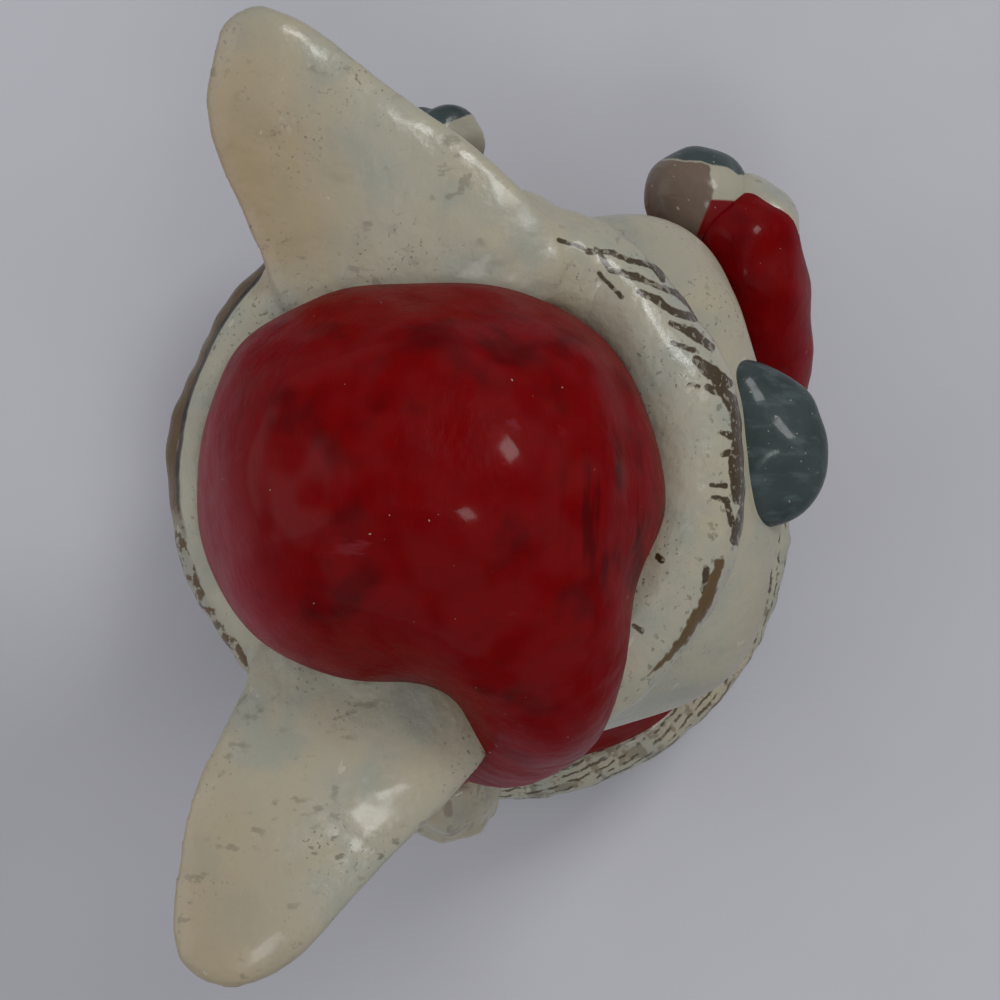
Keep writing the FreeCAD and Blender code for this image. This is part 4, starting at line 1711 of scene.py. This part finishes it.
@dataclass
class Tail:
    """The tail that curls forward by the left hip.

    Attributes:
        path: rows of x, y, z and radius, from the root to the tip.
        tip_edge: where the slate ends and the cream tip starts.
    """

    path: tuple[Station, ...] = (
        (36.3, 40.0, 74.0, 9.6),
        (57.8, 46.0, 76.0, 12.2),
        (79.4, 36.8, 80.5, 13.5),
        (92.6, 23.9, 86.0, 12.9),
        (98.0, 12.9, 92.0, 10.6),
    )
    tip_edge: tuple[float, float] = (96.6, 97.2)

    def build(self) -> None:
        """Cast and dress the tail."""

        def tip(tree: Tree) -> Socket:
            """Paint the tip cream."""
            reach = tree.x * 0.9 + tree.y * 0.43 + tree.unsteady(6, 3, 2)
            return reach.fall(*self.tip_edge) * tree.y.fall(15, 17)

        def under(tree: Tree) -> Socket:
            """Shade the tip's lower side tan."""
            return tip(tree) * tree.x.fall(96, 101) * 0.6

        form = limb(self.path).rough(Relief(51, size=12, depth=0.4))
        form = form.rough(Relief(52, size=5, depth=0.12))
        brush = SlatePaint("tail_paint", accents=((Chip.CREAM, tip), (Chip.TAN, under)))
        Piece("tail_brush", ("tail",), "slate_paint", form, grain=1.1).cast(brush)


@dataclass
class Foot:
    """One foot with three toes, flat on the plinth.

    Attributes:
        side: which foot it is.
        middle: the sole's middle on the left side, which the right one mirrors.
        half_sizes: the foot's half sizes, of which the lower half is cut away.
        toe: a toe's radius.
        toes: rows of a toe's place across and its setback, in toe radii.
        toe_fillet: how wide the roundings at the toes are.
    """

    side: Side
    middle: Triple = (25.0, -43.0, 14.0)
    half_sizes: Triple = (20.0, 28.0, 22.0)
    toe: float = 8.0
    toes: tuple[tuple[float, float], ...] = ((-1.4, 1.2), (0.0, 0.9), (1.4, 1.2))
    toe_fillet: float = 3.0

    def build(self) -> None:
        """Cast and dress the foot."""
        x, y, z = self.middle
        x = x if self.side is Side.LEFT else -x
        side, sole = self.side.value, ellipsoid((x, y, z), self.half_sizes)
        for across, setback in self.toes:
            front = y - self.half_sizes[1] + setback * self.toe
            toe = ball((x + across * self.toe, front, z + self.toe / 2), self.toe)
            sole = sole.blend(toe, self.toe_fillet)
        form = sole.rough(Relief(61, size=12, depth=0.25)) & slab(UP, z, z + 2 * self.half_sizes[2])
        Piece(
            f"bare_foot_{side}", (f"foot_{side}",), "slate_paint", form, grain=1.0, spare=2.0
        ).cast(SlatePaint("foot_paint"))


@dataclass
class Base:
    """The plinth, with the felt and the hidden wires, which keep their own shapes.

    Attributes:
        radius: the plinth's radius.
        low: the level of its underside.
        top: the level of its upper side.
        rounding: how round its upper edge is.
        chips: rows of the place round the edge, in degrees, and the size of a chipped spot.
        chip_fillet: how wide the rounding of a chip's edge is.
        wires: the nodes of the wires.
    """

    radius: float = 78.0
    low: float = 1.5
    top: float = 14.0
    rounding: float = 4.0
    chips: tuple[tuple[float, float], ...] = (
        (12.0, 3.6),
        (74.0, 2.6),
        (131.0, 4.2),
        (205.0, 3.2),
        (238.0, 2.4),
        (251.0, 4.0),
        (318.0, 3.0),
    )
    chip_fillet: float = 1.0
    wires: tuple[str, ...] = (
        "ear_wires",
        "shoulder_wires",
        "wrist_wires",
        "tail_wire",
        "pom_pom_wire",
    )

    def plinth_form(self) -> Form:
        """Shape the plinth with its rounded and chipped edge.

        Returns:
            The plinth's form.
        """

        def disc(p: Points) -> np.ndarray:
            """Give the distance to a disc with a rounded upper edge.

            Args:
                p: the points, as an array of three coordinates.

            Returns:
                The distances in millimetres.
            """
            over = np.hypot(p[0], p[1]) - self.radius + self.rounding
            above = p[2] - self.top + self.rounding
            corner = np.hypot(np.maximum(over, 0), np.maximum(above, 0))
            return corner + np.minimum(np.maximum(over, above), 0) - self.rounding

        form = Form(disc).rough(Relief(71, size=26, depth=0.15))
        for degrees, size in self.chips:
            angle = math.radians(degrees)
            spot = (self.radius * math.cos(angle), self.radius * math.sin(angle), self.top)
            form = form.carve(ball(spot, size), self.chip_fillet)
        return form & slab(UP, self.low, self.top + 1)

    def build(self) -> None:
        """Cast the plinth and dress the nodes that keep their own shapes."""
        moss, disc = MossPaint("plinth_paint"), self.plinth_form()
        Piece("plinth_disc", ("base_plinth",), "green_paint", disc, grain=1.2, spare=1.5).cast(moss)
        finishes: dict[str, Finish] = {"base_felt": WoolFelt("base_felt_wool")}
        finishes |= {wire: IronWire("iron_wire") for wire in self.wires}
        for node, finish in finishes.items():
            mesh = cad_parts[node].data
            mesh.materials.clear()
            mesh.materials.append(finish.material())
            LOG.info("%s: dressed", node)


@dataclass
class Studio:
    """Floor, lamps, surroundings and camera.

    Attributes:
        target: the point that the camera looks at.
        slope: how far the camera leans for each unit of height.
        distance: from the target to the camera.
        focal: the focal length in pixels of a 1000 pixel frame.
        horizon, zenith: the colours of the surroundings.
        lamps: rows of a lamp's name, place and size in metres, and power in watts.
        lit: the point that the lamps face, in metres.
        floor_half: half the floor's side in metres.
        sensor: the width of the camera's sensor in millimetres.
        reach: how far the camera sees, in metres.
    """

    target: Triple = (-2.1, -5.64, 140.0)
    slope: tuple[float, float] = (-0.0565, -0.0677)
    distance: float = 1160.0
    focal: float = 4464.0
    horizon: Colour = (0.66, 0.67, 0.7, 1.0)
    zenith: Colour = (0.48, 0.485, 0.5, 1.0)
    lamps: tuple[tuple[str, Triple, float, float], ...] = (
        ("key", (0.7, -0.78, 1.35), 0.42, 8.8),
        ("top", (-0.42, -0.2, 1.6), 0.25, 2.6),
        ("back", (-0.1, 1.6, 0.8), 1.5, 6.0),
    )
    lit: Triple = (0.0, 0.0, 0.15)
    floor_half: float = 4.0
    sensor: float = 36.0
    reach: float = 20.0

    def camera(self) -> None:
        """Place the camera where the photograph was taken from."""
        back = Vector((*self.slope, 1.0)).normalized()
        right = Vector((1.0, 0.0, 0.0)).cross(back).normalized()
        up = back.cross(right)
        lens = bpy.data.cameras.new("camera")
        lens.sensor_width = self.sensor
        lens.lens = self.focal / 1000 * self.sensor
        lens.clip_end = self.reach
        camera = bpy.data.objects.new("camera", lens)
        place = (Vector(self.target) + self.distance * back) * MM
        turn = Matrix((right, up, back)).transposed().to_4x4()
        camera.matrix_world = Matrix.Translation(place) @ turn
        bpy.context.scene.collection.objects.link(camera)
        bpy.context.scene.camera = camera

    def lamp(self, name: str, place: Triple, size: float, power: float) -> None:
        """Hang a square soft lamp that faces the figure.

        Args:
            name: its name.
            place: where it hangs, in metres.
            size: its side in metres.
            power: its power in watts.
        """
        light = bpy.data.lights.new(name, "AREA")
        light.size = size
        light.energy = power
        lamp = bpy.data.objects.new(name, light)
        lamp.location = place
        aim = Vector(self.lit) - Vector(place)
        lamp.rotation_euler = aim.to_track_quat("-Z", "Y").to_euler()
        bpy.context.scene.collection.objects.link(lamp)

    def floor(self) -> None:
        """Lay a plain pale floor."""
        mesh = bpy.data.meshes.new("floor")
        signs = ((-1, -1), (1, -1), (1, 1), (-1, 1))
        corners = [(x * self.floor_half, y * self.floor_half, 0) for x, y in signs]
        mesh.from_pydata(corners, [], [(0, 1, 2, 3)])
        floor = bpy.data.objects.new("floor", mesh)
        bpy.context.scene.collection.objects.link(floor)
        tree = Tree("floor_paper")
        mottling = tree.noise(60, 3).rise(0.3, 0.8) * 0.08
        colour = tree.mix(Chip.FLOOR, Chip.CREAM_GREY, mottling)
        mesh.materials.append(tree.finish(colour, 0.9, 0.0))

    def surroundings(self) -> None:
        """Blend the surroundings from the horizon's colour to the zenith's."""
        world = bpy.data.worlds.new("studio")
        world.use_nodes = True
        nodes, links = world.node_tree.nodes, world.node_tree.links
        kinds = ("TexCoord", "SeparateXYZ", "Mix")
        place, apart, mix = (nodes.new(f"ShaderNode{kind}") for kind in kinds)
        mix.data_type = "RGBA"
        mix.inputs[6].default_value = self.horizon
        mix.inputs[7].default_value = self.zenith
        links.new(place.outputs["Generated"], apart.inputs[0])
        links.new(apart.outputs["Z"], mix.inputs[0])
        links.new(mix.outputs[2], nodes["Background"].inputs["Color"])
        bpy.context.scene.world = world

    def build(self) -> None:
        """Set up the whole studio."""
        self.camera()
        self.floor()
        for row in self.lamps:
            self.lamp(*row)
        self.surroundings()
        bpy.context.scene.view_settings.view_transform = "Standard"


def ears() -> tuple[Ear, Ear]:
    """Give both ears with their stations.

    Returns:
        The left ear and the right one.
    """
    left = (
        (30.0, 8.0, 228.0, 18.0, 6.5),
        (37.0, 8.5, 228.6, 27.0, 6.5),
        (46.0, 9.5, 229.8, 33.5, 6.5),
        (62.0, 14.5, 231.9, 35.6, 6.5),
        (78.2, 26.0, 234.0, 30.4, 6.0),
        (91.8, 36.2, 235.7, 22.2, 5.5),
        (104.1, 42.8, 237.3, 13.4, 4.5),
        (108.0, 44.8, 237.8, 8.8, 3.6),
        (110.2, 45.6, 238.0, 4.4, 2.4),
        (111.0, 45.8, 238.0, 1.2, 0.8),
    )
    right = (
        (-38.0, 25.0, 228.5, 14.0, 6.5),
        (-46.0, 24.0, 229.0, 23.1, 6.5),
        (-56.8, 22.4, 230.3, 29.7, 6.5),
        (-66.8, 24.0, 231.4, 33.0, 6.5),
        (-79.1, 31.6, 232.9, 31.0, 6.0),
        (-93.7, 40.0, 234.6, 25.6, 5.5),
        (-105.3, 45.9, 235.9, 19.8, 4.9),
        (-115.3, 49.7, 237.1, 14.2, 4.2),
        (-119.8, 51.0, 237.6, 9.6, 3.6),
        (-122.2, 51.6, 238.0, 5.0, 2.6),
        (-123.2, 51.8, 238.0, 1.4, 0.9),
    )
    return Ear(Side.LEFT, left, 11), Ear(Side.RIGHT, right, 14)


def arms() -> tuple[Arm, Arm]:
    """Give the raised left arm and the resting right one.

    Returns:
        The left arm and the right one.
    """
    left = Arm(
        Side.LEFT,
        sleeve=(
            (44.0, -16.0, 122.0, 17.0),
            (39.0, -44.6, 112.2, 16.6),
            (30.0, -68.0, 108.0, 16.0),
            (46.0, -72.0, 121.0, 14.6),
            (56.0, -72.2, 129.5, 13.7),
            (65.0, -70.2, 132.5, 13.2),
        ),
        cuff=(
            (66.4, -71.6, 127.4, 13.6),
            (68.4, -70.4, 127.0, 14.2),
            (70.6, -68.8, 126.8, 13.6),
        ),
        hand=(77.6, -57.2, 131.0),
        aim=(0.5, 0.86, 0.05),
        palm=(77.0, -49.0),
    )
    right = Arm(
        Side.RIGHT,
        sleeve=(
            (-40.0, -13.7, 122.0, 16.0),
            (-46.9, -21.7, 109.1, 15.2),
            (-46.0, -32.2, 96.8, 14.4),
            (-40.0, -45.9, 92.6, 12.8),
            (-33.1, -54.6, 91.2, 12.0),
        ),
        cuff=(
            (-33.0, -54.5, 91.2, 11.4),
            (-30.2, -57.2, 91.2, 13.1),
            (-27.1, -59.5, 91.2, 12.2),
        ),
        hand=(-17.0, -60.8, 91.2),
        aim=(0.9, -0.4, 0.0),
    )
    return left, right


def main() -> None:
    """Build the studio and every piece."""
    logging.basicConfig(level=logging.INFO, format="%(message)s")
    Studio().build()
    cap = Cap()
    cap.build()
    for ear in ears():
        ear.build(cap)
    Head().build()
    Coat().build()
    for arm in arms():
        arm.build()
    Tail().build()
    for side in Side:
        Foot(side).build()
    Base().build()


if __name__ == "__main__":
    main()
